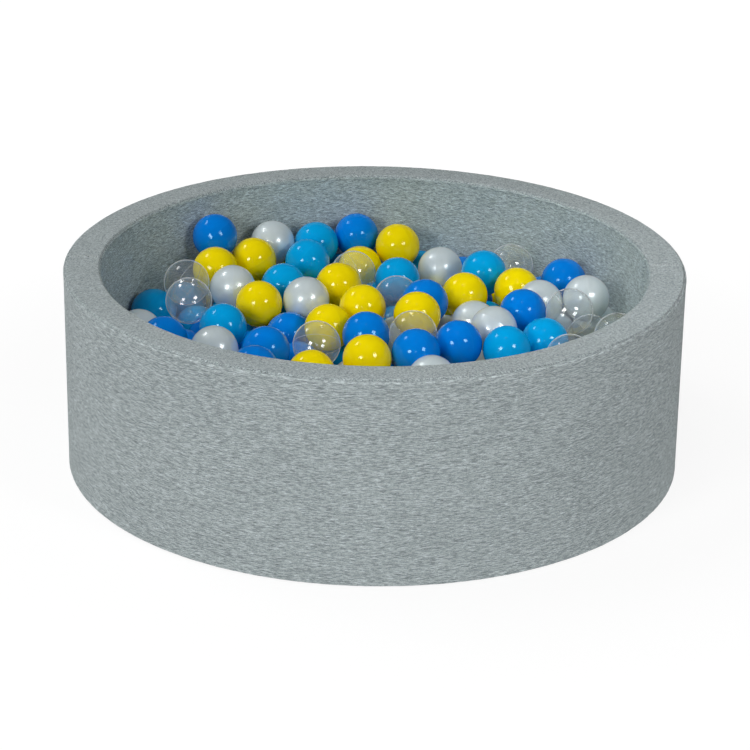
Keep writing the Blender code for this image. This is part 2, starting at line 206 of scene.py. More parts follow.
pit = {
    "foamDiameter": 0.900,
    "wallFoamThickness": 0.050,
    "wallFoamHeight": 0.298,
    "baseFoamThickness": 0.050,
    "cloth": 0.0015,
    "clearance": 0.0003,
    "edgeRound": 0.006,
    "ringSteps": 48,  # flat faces of the CAD ring
}
skin = pit["cloth"] + pit["clearance"]
outerRadius = pit["foamDiameter"] / 2 + skin
innerRadius = pit["foamDiameter"] / 2 - pit["wallFoamThickness"] - skin
pitHeight = pit["wallFoamHeight"] + 2 * skin
baseFoamTop = skin + pit["baseFoamThickness"]
floorTop = baseFoamTop + skin

# The camera stands where the photograph was taken from, and the heap is placed through the same eye.
eyeView = {
    "distanceShare": 4.386,  # of the pit's outer diameter
    "targetShare": 0.794,  # of the height of the heap's top
    "pitch": math.radians(22.11),
    "roll": math.radians(0.848),
    "focalPixels": 2679.2,
    "centrePixel": (373.6, 357.4),  # where the lens points
    "imagePixels": 750,
    "sensor": 36.0,
}


def makeCamera(target):
    pixels = eyeView["imagePixels"]
    data = bpy.data.cameras.new("photoCamera")
    data.sensor_width = eyeView["sensor"]
    data.lens = eyeView["focalPixels"] / pixels * eyeView["sensor"]
    data.shift_x = (pixels / 2 - eyeView["centrePixel"][0]) / pixels
    data.shift_y = (eyeView["centrePixel"][1] - pixels / 2) / pixels
    camera = bpy.data.objects.new("photoCamera", data)
    scene.collection.objects.link(camera)
    back = Vector((0, -math.cos(eyeView["pitch"]), math.sin(eyeView["pitch"])))
    turn = back.to_track_quat("Z", "Y").to_matrix().to_4x4() @ Matrix.Rotation(eyeView["roll"], 4, "Z")
    distance = eyeView["distanceShare"] * 2 * outerRadius
    camera.matrix_world = Matrix.Translation(Vector((0, 0, target)) + back * distance) @ turn
    scene.camera = camera


# Each lamp: the way it lies from the pit (right of and above the photograph's line of sight, in degrees,
# or a direction), how far, its width and height, and how bright its face is. One that isn't mirrored doesn't
# show in a gloss. Aim is what it points at, where that isn't the pit's middle, and spread is in degrees.
lamps = {
    "leftBox": {"aside": -32, "above": 2, "distance": 3.2, "size": (0.84, 0.84), "radiance": 14.3},
    "rightBox": {"aside": 41, "above": 11, "distance": 2.6, "size": (0.66, 0.66), "radiance": 13.0},
    "cameraLamp": {"aside": -2, "above": 3, "distance": 3.6, "size": (0.20, 0.20), "radiance": 15.0},
    "topBank": {
        "towards": (-0.45, 0.08, 0.80), "distance": 4.0, "size": (2.6, 1.8), "radiance": 3.9, "mirrored": False,
    },
    "topGleam": {"towards": (-0.57, 0.34, 0.75), "distance": 3.0, "size": (0.9, 0.5), "radiance": 5.0},
    "rightSpot": {
        "towards": (-0.15, -0.25, 1.0), "distance": 2.0, "size": (0.7, 0.7), "radiance": 0.24, "mirrored": False,
        "aim": (0.40, 0.02), "spread": 30,
    },
}
studio = {
    "ambient": 0.17,
    "background": 1.0,
    "ceiling": 0.05,  # how bright it is in a gloss, beside the background
    "ceilingFrom": (-0.15, 0.15),  # where the white background gives way to the ceiling, as the sine of elevation
    "floorDiffuse": 0.90,
    "floorGlow": 0.62,  # light that the floor gives back close to the pit
    "glowReach": (0.46, 0.85),  # from in full to none, in metres from the pit's middle
    "floorShine": (0.85, 1.0),  # how white the floor looks in itself, beside the pit and far from it
    "floorReach": (0.55, 1.30),
    "floorWhite": 1.03,
    "floorHalf": 12.0,
    "floorSink": 0.0005,
}


def makeLamps(target):
    for name, lamp in lamps.items():
        if "towards" in lamp:
            way = Vector(lamp["towards"]).normalized()
        else:
            lift = eyeView["pitch"] + math.radians(lamp["above"])
            aside = math.radians(lamp["aside"])
            way = Vector((math.sin(aside) * math.cos(lift), -math.cos(aside) * math.cos(lift), math.sin(lift)))
        data = bpy.data.lights.new(name, "AREA")
        data.shape = "ELLIPSE"
        data.size, data.size_y = lamp["size"]
        data.energy = lamp["radiance"] * math.pi * data.size * data.size_y
        data.spread = math.radians(lamp.get("spread", 180))
        light = bpy.data.objects.new(name, data)
        light.location = Vector((*lamp.get("aim", (0, 0)), target)) + way * lamp["distance"]
        light.rotation_euler = way.to_track_quat("Z", "Y").to_euler()
        light.visible_glossy = lamp.get("mirrored", True)
        scene.collection.objects.link(light)


def lightPath(graph):
    # The rays that see the white studio itself: straight from the camera, off a gloss, through clear plastic
    rays = graph.addAll("ShaderNodeLightPath")
    return [rays[f"Is {kind} Ray"] for kind in ("Camera", "Glossy", "Transmission")]


def makeWorld():
    world = bpy.data.worlds.new("studio")
    scene.world = world
    world.use_nodes = True
    world.node_tree.nodes.clear()
    graph = Graph(world.node_tree)
    camera, glossy, passing = lightPath(graph)
    _, _, height = graph.split(graph.add("ShaderNodeTexCoord", {}, {}, "Generated"))
    room = 1 - height.between(*studio["ceilingFrom"]) * (1 - studio["ceiling"])  # white all round, darker overhead
    seen = camera + passing + glossy * room
    strength = seen * studio["background"] + (1 - camera - passing - glossy) * studio["ambient"]
    light = graph.add("ShaderNodeBackground", {}, {"Color": (1, 1, 1), "Strength": strength})
    graph.add("ShaderNodeOutputWorld", {}, {"Surface": light})


def makeFloor():
    graph = newMaterial("paleFloor")
    lit = graph.add("ShaderNodeBsdfDiffuse", {}, {"Color": (studio["floorDiffuse"],) * 3})
    white = graph.add("ShaderNodeEmission", {}, {"Color": (1, 1, 1), "Strength": studio["floorWhite"]})
    camera, glossy, passing = lightPath(graph)
    x, y, _ = graph.split(graph.place())
    away = (x * x + y * y) ** 0.5
    near, far = studio["floorShine"]
    shine = near + away.between(*studio["floorReach"]) * (far - near)
    glow = (1 - away.between(*studio["glowReach"])) * studio["floorGlow"]
    seen = camera + glossy + passing
    material = surface(graph, graph.mixShaders(seen * shine + (1 - seen) * glow, lit, white))
    mesh = bpy.data.meshes.new("floor")
    half = studio["floorHalf"]
    mesh.from_pydata([(-half, -half, 0), (half, -half, 0), (half, half, 0), (-half, half, 0)], [], [(0, 1, 2, 3)])
    floor = newObject("floor", mesh, material, body=None)
    floor.location.z = -studio["floorSink"]


makeWorld()
makeFloor()

print("2 finishes")

jersey = {
    "dark": (0.122, 0.147, 0.153),
    "middle": (0.331, 0.378, 0.385),
    "light": (0.69, 0.765, 0.776),
    "streak": (0.0110, 0.0009),  # length and height of one heathered streak
    "fleck": (0.0048, 0.0006),
    "fibre": (0.0022, 0.00055),
    "shares": (0.46, 0.30, 0.24),  # of streaks, flecks and fibres
    "fray": 0.6,  # how ragged they are
    "cloud": 0.025,  # slow light and dark patches
    "cloudScale": 9.0,
    "contrast": 4.05,
    "sag": (0.011, 0.006),  # length and height of the waves in the rows
    "waviness": 0.0006,  # and how far they go
    "stitch": (0.0011, 0.0009),  # wale and course of the knit
    "relief": (0.4, 0.4, 0.6, 0.5),  # of loops, ribs, fibres and streaks
    "reliefDepth": 0.0005,
    "reliefStrength": 0.55,
    "roughness": 0.92,
    "sheen": 0.05,
    "sheenRoughness": 0.5,
    "shine": 0.2,
    "hem": (0.0034, 0.0007, 0.0019),  # a painted highlight along the top seam, where the rounded edge catches the lamps: how far down, and its half width and fade
    "paintedHighlightStrength": 0.26,
    "paintedHighlightPatch": 0.012,  # the painted highlight comes and goes in patches
    "paintedHighlightPatches": (0.40, 0.60),
    "paintedHighlightFade": (0.20, 0.70),  # how far from the front, which faces the lamps, the painted highlight shows in full and not at all
    "brinkShade": (0.85, 0.85, 0.85),  # painted shade where the cloth turns over the inner edge, dimming the light that the rounded edge catches
    # Each pattern reads its own slice of the noise
    "slices": {"sag": 1.7, "streak": 3.7, "fleck": 11.3, "fibre": 23.9, "hem": 5.1},
}


def jerseyMaterial(name, contrast=1.0, tint=(1, 1, 1), size=(1, 1), hem=False, brink=None):
    graph = newMaterial(name)
    u, fromSeam = graph.grain()
    slices = jersey["slices"]
    length, height = jersey["sag"]
    sag = graph.noise(graph.vector(u / length, fromSeam / height, slices["sag"]))
    v = fromSeam + (sag - 0.5) * jersey["waviness"]

    def strands(kind, detail=2.0):
        length, height = jersey[kind]
        place = graph.vector(u / (length * size[0]), v / (height * size[1]), slices[kind])
        return graph.noise(place, 1.0, detail, jersey["fray"])

    streak, fleck, fibre = strands("streak"), strands("fleck"), strands("fibre", 1.0)
    cloud = graph.noise(graph.vector(u, v, 0.0), jersey["cloudScale"])
    long, short, fine = jersey["shares"]
    tone = streak * long + fleck * short + fibre * fine + (cloud - 0.5) * jersey["cloud"]
    tone = (tone - 0.5) * (jersey["contrast"] * contrast) + 0.5
    # A painted highlight along the top seam, shown in full at the front where the edge faces the lamps
    if hem:
        middle, full, none = jersey["hem"]
        patches = graph.noise(graph.vector(u / jersey["paintedHighlightPatch"], 0.0, slices["hem"])).between(*jersey["paintedHighlightPatches"])
        patches = patches * (1 - abs(u - math.pi * outerRadius).between(*jersey["paintedHighlightFade"]))
        tone = tone + (1 - abs(fromSeam - middle).between(full, none)) * patches * jersey["paintedHighlightStrength"]
    colour = graph.add("ShaderNodeValToRGB", {"stops": [
        (place, tuple(part * share for part, share in zip(jersey[level], tint)))
        for place, level in ((0.0, "dark"), (0.5, "middle"), (1.0, "light"))
    ]}, {"Fac": tone})
    # Painted shade darkens the cloth where it turns over the inner edge
    if brink:
        colour = graph.blend(fromSeam.between(*brink), colour, jersey["brinkShade"], "MULTIPLY")

    wale, course = jersey["stitch"]
    leg = (u / wale).fold()
    loops = ((v / course + leg * 0.5) * (2 * math.pi)).sine() * 0.5 + 0.5
    ribs = (leg * math.pi).sine()
    loopShare, ribShare, fibreShare, streakShare = jersey["relief"]
    relief = loops * loopShare + ribs * ribShare + fibre * fibreShare + streak * streakShare
    return surface(graph, graph.principled(
        colour, jersey["roughness"], graph.bump(relief, jersey["reliefDepth"], jersey["reliefStrength"]), {
            "Sheen Weight": jersey["sheen"], "Sheen Roughness": jersey["sheenRoughness"],
            "Specular IOR Level": jersey["shine"],
        },
    ))


openFoam = {
    "wall": (0.60, 0.55, 0.42), "face": (0.88, 0.85, 0.76), "aged": (0.80, 0.74, 0.58),
    "cellScale": 900.0, "poreEdge": 0.22, "poreDepth": 0.0006,
    "cloudScale": 14.0, "agedShare": 0.35, "roughness": 0.95,
}


def foamMaterial():
    graph = newMaterial("openCellFoam")
    place = graph.place()
    cells = graph.add(
        "ShaderNodeTexVoronoi", {"feature": "DISTANCE_TO_EDGE"}, {"Vector": place, "Scale": openFoam["cellScale"]}
    )
    pores = cells.between(0.0, openFoam["poreEdge"])
    colour = graph.blend(pores, openFoam["wall"], openFoam["face"])
    cloud = graph.noise(place, openFoam["cloudScale"], 3.0)
    colour = graph.blend(cloud * openFoam["agedShare"], colour, openFoam["aged"])
    return surface(graph, graph.principled(colour, openFoam["roughness"], graph.bump(pores, openFoam["poreDepth"])))


wovenTape = {
    "weave": (0.0009, 0.0007),  # half a thread's repeat along and across
    "slub": (0.004, 0.0006),
    "dark": (0.26, 0.275, 0.28), "light": (0.46, 0.48, 0.48),
    "over": (0.30, 0.31, 0.32), "overFrom": (-0.4, 0.6), "overShare": 0.4,
    "depth": 0.0002, "strength": 0.7, "roughness": 0.8, "sheen": 0.15,
}


def tapeMaterial():
    graph = newMaterial("wovenTape")
    u, v = graph.grain()
    along, across = wovenTape["weave"]
    warp = ((u / along) * math.pi).sine() * ((v / across) * math.pi).sine()
    length, height = wovenTape["slub"]
    slub = graph.noise(graph.vector(u / length, v / height, 0.0))
    colour = graph.blend(slub, wovenTape["dark"], wovenTape["light"])
    colour = graph.blend(warp.between(*wovenTape["overFrom"]) * wovenTape["overShare"], colour, wovenTape["over"])
    normal = graph.bump(warp, wovenTape["depth"], wovenTape["strength"])
    sheen = {"Sheen Weight": wovenTape["sheen"]}
    return surface(graph, graph.principled(colour, wovenTape["roughness"], normal, sheen))


thread = {
    "seamColour": (0.66, 0.69, 0.69), "rimColour": (0.62, 0.64, 0.64), "dark": 0.7,  # how dark the painted shade between the strands is
    "twist": 9000.0, "depth": 0.0001, "strength": 0.5, "roughness": 0.6,
}


def threadMaterial(name, colour):
    graph = newMaterial(name)
    x, y, z = graph.split(graph.place())
    twist = ((x + y + z) * thread["twist"]).sine() * 0.5 + 0.5
    # Painted shade in the grooves between the twisted strands
    dark = tuple(part * thread["dark"] for part in colour)
    normal = graph.bump(twist, thread["depth"], thread["strength"])
    return surface(graph, graph.principled(graph.blend(twist, dark, colour), thread["roughness"], normal))


zipMetal = {
    "worn": (0.46, 0.46, 0.44), "bright": (0.68, 0.68, 0.66), "wornScale": 700.0,
    "brush": (300, 300, 6000), "roughness": (0.24, 0.25),  # at least, and how much more
    "depth": 0.00005, "strength": 0.5,
}


def metalMaterial():
    graph = newMaterial("satinZipMetal")
    place = graph.place()
    brushed = graph.noise(graph.vector(*(part * scale for part, scale in zip(graph.split(place), zipMetal["brush"]))))
    worn = graph.noise(place, zipMetal["wornScale"], 3.0)
    least, more = zipMetal["roughness"]
    return surface(graph, graph.principled(
        graph.blend(worn, zipMetal["worn"], zipMetal["bright"]), brushed * more + least,
        graph.bump(brushed, zipMetal["depth"], zipMetal["strength"]), {"Metallic": 1.0},
    ))


coil = {
    "dark": (0.24, 0.25, 0.25), "light": (0.38, 0.39, 0.39), "grainScale": 900.0,
    "roughness": (0.34, 0.2), "depth": 0.0001, "strength": 0.3,
}


def toothMaterial():
    graph = newMaterial("coilPlastic")
    grain = graph.noise(graph.place(), coil["grainScale"])
    least, more = coil["roughness"]
    return surface(graph, graph.principled(
        graph.blend(grain, coil["dark"], coil["light"]), grain * more + least,
        graph.bump(grain, coil["depth"], coil["strength"]),
    ))


# For each plastic: how far a ball's own number shifts its pattern, the mould line's half width and fade,
# and the clouding, whose three numbers are scale, detail and roughness as in every noise here.
gloss = {
    "shift": (37, 11, 5), "seam": (0.002, 0.016), "cloud": (2.2, 3.0, 0.55),
    "swirl": (14.0, 3.0, 0.6), "rub": (26.0, 4.0, 0.7), "rubFrom": (0.45, 0.85),
    "tone": (0.6, 0.15, 0.35),  # of the clouds, the swirls and the ball's own number
    "seamShare": 0.10, "seamLift": (1.3, 0.06), "roughness": (0.10, 0.03), "shine": 0.42,
    "colours": {
        "blue": {"deep": (0.0, 0.185, 0.69), "bright": (0.0, 0.26, 0.85), "glint": (0.50, 0.85, 1.0)},
        "light_blue": {"deep": (0.0, 0.32, 0.72), "bright": (0.0, 0.43, 0.86), "glint": (0.70, 0.93, 1.0)},
        "yellow": {"deep": (0.90, 0.71, 0.0), "bright": (1.0, 0.82, 0.0), "glint": (1.0, 0.98, 0.85)},
    },
}
pearl = {
    "shift": (29, 7, 3), "seam": (0.002, 0.018), "cloud": (2.6, 4.0, 0.6),
    "flow": (3, 3, 14), "flowShift": 9, "flowNoise": (1.0, 4.0, 0.6), "tone": (0.6, 0.4),  # of clouds and flow
    "deep": (0.65, 0.745, 0.775), "bright": (0.82, 0.91, 0.93), "pale": (0.92, 0.95, 0.95),
    "edge": (0.60, 0.85), "seamShare": 0.2, "edgeShare": 0.6,
    "metallic": 0.16, "shine": 1.0, "roughness": (0.28, 0.08), "coat": 1.0, "coatRoughness": 0.08,
}
clear = {
    "shift": (23, 13, 7), "seam": (0.004, 0.022), "cloud": (1.8, 3.0, 0.6),
    "gate": (0.0004, 0.002),  # the moulding mark's reach round each pole
    "edge": (0.62, 0.82),  # where the thin wall is seen on end
    "drawn": (7, 7, 1.1), "drawnShift": 19, "drawnNoise": (1.0, 3.0, 0.6), "drawnFrom": (0.56, 0.72),
    "haze": 0.05, "most": 0.9,  # how milky it is at least and at most
    "milk": {"cloud": 0.08, "tilt": 0.12, "edge": 0.40, "seam": 0.28, "gate": 0.25, "drawn": 0.09},
    "body": (0.72, 0.78, 0.80), "rim": (0.95, 0.97, 0.97), "tint": (0.985, 0.995, 0.995),
    "roughness": 0.4, "shine": 0.2, "gleamRoughness": 0.12, "mirror": (0.07, 0.75),  # face on, and more at the edge
}
shell = {
    "share": 0.14,  # of the light that goes through the wall
    "waveDepth": 0.0002, "waveStrength": 0.15, "clearWaveStrength": 0.05,
}


def ballGraph(name, look):
    # A ball's finish reads two attributes: the way out of the ball in its own turned frame, and its own number
    graph = newMaterial(name)
    way = graph.add("ShaderNodeAttribute", {"attribute_name": "way"}, {}, "Vector")
    own = graph.add("ShaderNodeAttribute", {"attribute_name": "own"}, {}, "Fac")
    shift = graph.vector(*(own * step for step in look["shift"]))
    moved = graph.add("ShaderNodeVectorMath", {"operation": "ADD"}, {0: way, 1: shift})
    x, y, z = graph.split(way)
    return graph, (x, y, z), own, moved, graph.noise(moved, *look["cloud"]), 1 - abs(z).between(*look["seam"])


def drift(graph, way, own, scales, shift, noise):
    # Clouds drawn out one way in the plastic
    x, y, z = (part * scale for part, scale in zip(way, scales))
    return graph.noise(graph.vector(x + own * shift, y, z), *noise)


def tilt(graph):  # 0 where the surface faces the eye, 1 where it is seen on edge
    return graph.add("ShaderNodeLayerWeight", {}, {"Blend": 0.5}, "Facing")


def thinShell(graph, shader, colour):
    # The balls are hollow, so part of the light goes through their wall
    inward = graph.add("ShaderNodeBsdfTranslucent", {}, {"Color": colour})
    return surface(graph, graph.mixShaders(shell["share"], shader, inward))


def glossMaterial(name):
    look = gloss["colours"][name]
    graph, _, own, moved, cloud, seam = ballGraph("gloss_" + name, gloss)
    swirl = graph.noise(moved, *gloss["swirl"])
    cloudShare, swirlShare, ownShare = gloss["tone"]
    colour = graph.blend(cloud * cloudShare + swirl * swirlShare + own * ownShare, look["deep"], look["bright"])
    gain, lift = gloss["seamLift"]
    pale = tuple(min(1, part * gain + lift) for part in look["bright"])
    colour = graph.blend(seam * gloss["seamShare"], colour, pale)
    rub = graph.noise(moved, *gloss["rub"]).between(*gloss["rubFrom"])
    least, more = gloss["roughness"]
    return thinShell(graph, graph.principled(
        colour, rub * more + least, graph.bump(cloud, shell["waveDepth"], shell["waveStrength"]),
        {"Specular IOR Level": gloss["shine"], "Specular Tint": look["glint"]},
    ), colour)


def pearlMaterial():
    graph, way, own, _, cloud, seam = ballGraph("pearl_white", pearl)
    flow = drift(graph, way, own, pearl["flow"], pearl["flowShift"], pearl["flowNoise"])
    cloudShare, flowShare = pearl["tone"]
    colour = graph.blend(cloud * cloudShare + flow * flowShare, pearl["deep"], pearl["bright"])
    edge = tilt(graph).between(*pearl["edge"])
    colour = graph.blend(seam * pearl["seamShare"] + edge * pearl["edgeShare"], colour, pearl["pale"])
    least, more = pearl["roughness"]
    return thinShell(graph, graph.principled(
        colour, flow * more + least, graph.bump(cloud, shell["waveDepth"], shell["waveStrength"]), {
            "Metallic": pearl["metallic"], "Specular IOR Level": pearl["shine"],
            "Coat Weight": pearl["coat"], "Coat Roughness": pearl["coatRoughness"],
        },
    ), colour)


def clearMaterial():
    graph, way, own, _, cloud, seam = ballGraph("clear_plastic", clear)
    gate = 1 - (1 - abs(way[2])).between(*clear["gate"])
    facing = tilt(graph)
    edge = facing.between(*clear["edge"])
    drawn = drift(graph, way, own, clear["drawn"], clear["drawnShift"], clear["drawnNoise"])
    parts = {
        "cloud": cloud, "tilt": facing ** 3, "edge": edge, "seam": seam, "gate": gate,
        "drawn": drawn.between(*clear["drawnFrom"]),
    }
    milk = clear["haze"]
    for kind, part in parts.items():
        milk = part * clear["milk"][kind] + milk
    haze = graph.principled(
        graph.blend(edge, clear["body"], clear["rim"]), clear["roughness"], None,
        {"Specular IOR Level": clear["shine"]},
    )
    through = graph.add("ShaderNodeBsdfTransparent", {}, {"Color": clear["tint"]})
    wall = graph.mixShaders(milk.atMost(clear["most"]), through, haze)
    gleam = graph.add("ShaderNodeBsdfGlossy", {}, {
        "Color": (1, 1, 1), "Roughness": clear["gleamRoughness"],
        "Normal": graph.bump(cloud, shell["waveDepth"], shell["clearWaveStrength"]),
    })
    least, more = clear["mirror"]
    return surface(graph, graph.mixShaders(facing ** 5 * more + least, wall, gleam))


finishes = {colour: glossMaterial(colour) for colour in gloss["colours"]}
finishes["white"] = pearlMaterial()
finishes["clear"] = clearMaterial()
wallJersey = jerseyMaterial("jerseyWall", size=(0.92, 0.85), hem=True)
# Painted light: the inner wall's copy of the jersey is tinted lighter and bluer than the outer wall's, for the light
# bounced inside the pit
innerJersey = jerseyMaterial(
    "jerseyInner", contrast=1.3, tint=(1.13, 1.19, 1.18), size=(0.68, 0.68), brink=(0.238, 0.246)
)
rimJersey = jerseyMaterial("jerseyRim", contrast=1.05, size=(0.30, 1.0))
seamThread = threadMaterial("seamThread", thread["seamColour"])

print("3 cover and foam")

cover = {
    "steps": 600,  # columns round a wall panel
    "panelGap": 0.0002,  # from the rim's radial seam to the cloth on either side
    "seamDip": 0.0011,  # how deep the seams pull the cloth in
    "seamWidth": 0.0011,
    "rollHeight": 0.0006,  # the soft roll beside a seam
    "rollAway": 0.0032,
    "rollWidth": 0.0019,
    "pucker": 0.011,  # from one pucker to the next along a seam
    "puckerShare": 0.9,  # how uneven they make the roll
    "puckerWaves": (1, 1.37, 0.61, 0.23),  # how often they come, against that
    "crown": 0.0010,  # how much the rim bows up in the middle of its width
    "sway": 0.0006,  # slow unevenness of the foam under the cloth
    "outerSway": (1.0, 5, (3, 5, 8, 13)),  # how much of it, its seed, and its waves round the ring
    "innerSway": (1.3, 8, (4, 7, 11, 17)),
    "rimSway": (0.5, 21, (5, 9, 14)),
    "seams": {  # the seed of the puckers beside each seam, and how strong its dip and roll are
        "wallTop": (11, 1.0), "wallLow": (12, 1.0), "innerTop": (13, 0.4),
        "rimInner": (14, 0.4), "rimOuter": (12, 0.7), "rimAcross": (31, 1.0),
    },
    "foldAngle": math.radians(6.0),  # an upright fold in the inner wall, under the rim's seam
    "foldHalf": 0.010,  # from its middle to the dip on either side
    "foldRound": 0.7,  # how wide it bulges, against that
    "foldWidth": 0.0026,  # of each dip
    "foldRise": 0.0036,
    "foldDip": 0.0045,
    "foldReach": 0.055,  # how far down from the rim it goes
    "fineStep": 0.0012,  # from one column to the next, close to a seam or fold
    "fineColumns": 14,
    "outerStart": math.pi / 2,  # where the wall panels close, as an angle round the pit
    "innerStart": math.radians(20),
    "outerEnds": (50, -60),  # where the cloth ends on a rounded edge, in degrees: the outer wall's top and bottom
    "innerEnd": 140,  # the inner wall's top
    "rimEnds": (138, 52),  # the rim's inner and outer edge
    "outerFlat": 0.306,  # height of the wall panels when they lie flat
    "innerFlat": 0.251,
    "hole": 0.0005,  # a round panel starts this far from its middle
    "floorSink": 0.0003,  # how far the floor panel's face stays inside its solid
    "edgeDip": (0.0006, 0.004),  # depth and width of the dip at a round panel's sewn edge
    "roundSteps": 160,
    "roundSpacing": 0.012,
}


def wander(angle, seed, waves):
    # A smooth closed wave round the ring, between about -1 and 1
    rng = np.random.default_rng(seed)
    total = np.zeros_like(angle)
    for count in waves:
        total += rng.uniform(0.4, 1.0) * np.sin(count * angle + rng.uniform(0, 2 * math.pi))
    return total / len(waves)


def bell(distance, width):  # 1 at no distance, and next to nothing beyond two widths
    return np.exp(-((distance / width) ** 2))


def path(points, spacing=0.006, arcSteps=8):
    # Points along straight runs and corner arcs: a run is (radius, height), an arc (centre, radius, from, to)
    found = []
    for item in points:
        if len(item) == 2:
            if found:
                start = np.array(found[-1])
                count = max(1, int(math.dist(start, item) / spacing))
                found += [tuple(start + (np.array(item) - start) * i / count) for i in range(1, count + 1)]
            else:
                found.append(item)
        else:
            centre, radius, first, last = item
            for i in range(arcSteps + 1):
                angle = math.radians(first + (last - first) * i / arcSteps)
                point = (centre[0] + radius * math.cos(angle), centre[1] + radius * math.sin(angle))
                if not found or math.dist(found[-1], point) > 1e-6:
                    found.append(point)
    return np.array(found)


def columnShares(start, sweep, steps, fine):
    # Even shares of the way along a strip, with many more close to the angles named in fine
    shares = [np.linspace(0, 1, steps + 1)]
    step = cover["fineStep"] / outerRadius / sweep
    beside = step * np.arange(-cover["fineColumns"], cover["fineColumns"] + 1)
    for angle in fine:
        shares.append(((angle - start) / sweep) % (2 * math.pi / sweep) + beside)
    shares = np.unique(np.concatenate(shares).round(7))
    return shares[(shares >= 0) & (shares <= 1)]


def smooth(mesh, sharpFrom=50):
    mesh.shade_smooth()
    mesh.set_sharp_from_angle(angle=math.radians(sharpFrom))


def revolve(
    name, line, material, thickness, reliefOf,
    start=0.0, sweep=2 * math.pi, steps=cover["steps"], fromAbove=False, fine=(),
):
    # A strip of cloth along a line of (radius, height), turned round the pit's axis, as a closed shell
    whole = abs(sweep - 2 * math.pi) < 1e-9
    shares = columnShares(start, sweep, steps, fine)
    if whole:
        shares = shares[:-1]
    angle = start + sweep * shares
    columns, rows = len(angle), len(line)
    along = np.concatenate([[0], np.cumsum(np.hypot(*np.diff(line, axis=0).T))])
    tangent = np.gradient(line, along, axis=0)
    tangent /= np.hypot(*tangent.T)[:, None]
    normal = np.stack([-tangent[:, 1], tangent[:, 0]], axis=1)
    relief = np.broadcast_to(reliefOf(angle[:, None], along[None, :], along[-1]), (columns, rows))
    sides = []
    for depth in (0.0, thickness):
        radius = line[None, :, 0] + normal[None, :, 0] * (relief - depth)
        height = line[None, :, 1] + normal[None, :, 1] * (relief - depth)
        sides.append(np.stack([radius * np.cos(angle)[:, None], radius * np.sin(angle)[:, None], height], axis=2))
    points = np.concatenate(sides).reshape(-1, 3)
    grid = np.arange(columns * rows).reshape(columns, rows)
    if whole:
        grid = np.vstack([grid, grid[:1]])
    under = grid + columns * rows
    quads = [
        np.stack([grid[:-1, :-1], grid[:-1, 1:], grid[1:, 1:], grid[1:, :-1]], axis=2).reshape(-1, 4),
        np.stack([under[:-1, :-1], under[1:, :-1], under[1:, 1:], under[:-1, 1:]], axis=2).reshape(-1, 4),
    ]
    for side, turn in ((0, 1), (-1, -1)):
        edge = np.stack([grid[:-1, side], grid[1:, side], under[1:, side], under[:-1, side]], axis=1)
        quads.append(edge[:, ::turn])
        if not whole:
            edge = np.stack([grid[side, :-1], under[side, :-1], under[side, 1:], grid[side, 1:]], axis=1)
            quads.append(edge[:, ::turn])
    mesh = bpy.data.meshes.new(name)
    mesh.from_pydata(points.tolist(), [], np.concatenate(quads).tolist())

    # The grain map is in metres: along the cloth and across it, or seen from above on a flat panel
    vertexOf = np.zeros(len(mesh.loops), dtype=np.int32)
    mesh.loops.foreach_get("vertex_index", vertexOf)
    if fromAbove:
        grain = points[vertexOf, :2]
    else:
        column = (vertexOf // rows % columns).reshape(-1, 4)
        closing = np.ptp(column, axis=1, keepdims=True) > columns / 2  # the faces that close the ring
        share = np.where(closing & (column == 0), 1.0, shares[column]).ravel()
        length = sweep * line[:, 0].mean()
        grain = np.stack([share * length, along[vertexOf % rows]], axis=1)
    mesh.uv_layers.new(name="grain").data.foreach_set("uv", grain.astype(np.float32).ravel())
    work = bmesh.new()
    work.from_mesh(mesh)
    bmesh.ops.remove_doubles(work, verts=work.verts, dist=1e-6)
    bmesh.ops.recalc_face_normals(work, faces=work.faces)
    work.to_mesh(mesh)
    work.free()
    smooth(mesh)
    return newObject(name, mesh, material)


def seamRelief(distance, angle, seam):
    # The cloth dips at a seam and rolls up beside it, in uneven puckers
    seed, strength = cover["seams"][seam]
    around = innerRadius + pit["wallFoamThickness"] / 2
    count = int(2 * math.pi * around / cover["pucker"])
    puckers = wander(angle, seed, [int(count * share) for share in cover["puckerWaves"]])
    dip = -cover["seamDip"] * bell(distance, cover["seamWidth"])
    roll = cover["rollHeight"] * bell(distance - cover["rollAway"], cover["rollWidth"])
    return strength * (dip + roll * (1 + cover["puckerShare"] * puckers))


def sway(angle, panel):
    share, seed, waves = cover[panel]
    return share * cover["sway"] * wander(angle, seed, waves)


def outerRelief(angle, along, total):  # from the top seam down
    slow = sway(angle, "outerSway") * np.sin(math.pi * along / total)
    return slow + seamRelief(along, angle, "wallTop") + seamRelief(total - along, angle, "wallLow")


def innerRelief(angle, along, total):  # from the mat up
    slow = sway(angle, "innerSway") * np.sin(math.pi * along / total)
    aside = np.abs(np.angle(np.exp(1j * (angle - cover["foldAngle"])))) * innerRadius
    bulge = cover["foldRise"] * bell(aside, cover["foldRound"] * cover["foldHalf"])
    dips = cover["foldDip"] * bell(aside - cover["foldHalf"], cover["foldWidth"])
    fade = bell(total - along, cover["foldReach"])  # it dies out lower down
    return slow + (bulge - dips) * fade + seamRelief(total - along, angle, "innerTop")


def rimRelief(angle, along, total):  # from the inner seam to the outer one
    bow = np.sin(math.pi * along / total)
    slow = sway(angle, "rimSway") * bow
    ends = seamRelief(along, angle, "rimInner") + seamRelief(total - along, angle, "rimOuter")
    away = np.minimum(np.abs(np.sin(angle / 2)), np.abs(np.cos(angle / 2))) * 2 * outerRadius
    return cover["crown"] * bow + slow + ends + seamRelief(away, angle, "rimAcross")


def roundRelief(angle, along, total):
    depth, width = cover["edgeDip"]
    return -depth * bell(total - along, width)


def addPanel(name, node, line, material, reliefOf, flat, restsOn, area=None, **turn):
    panel = revolve(name, line, material, pit["cloth"], reliefOf, **turn)
    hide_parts(node)


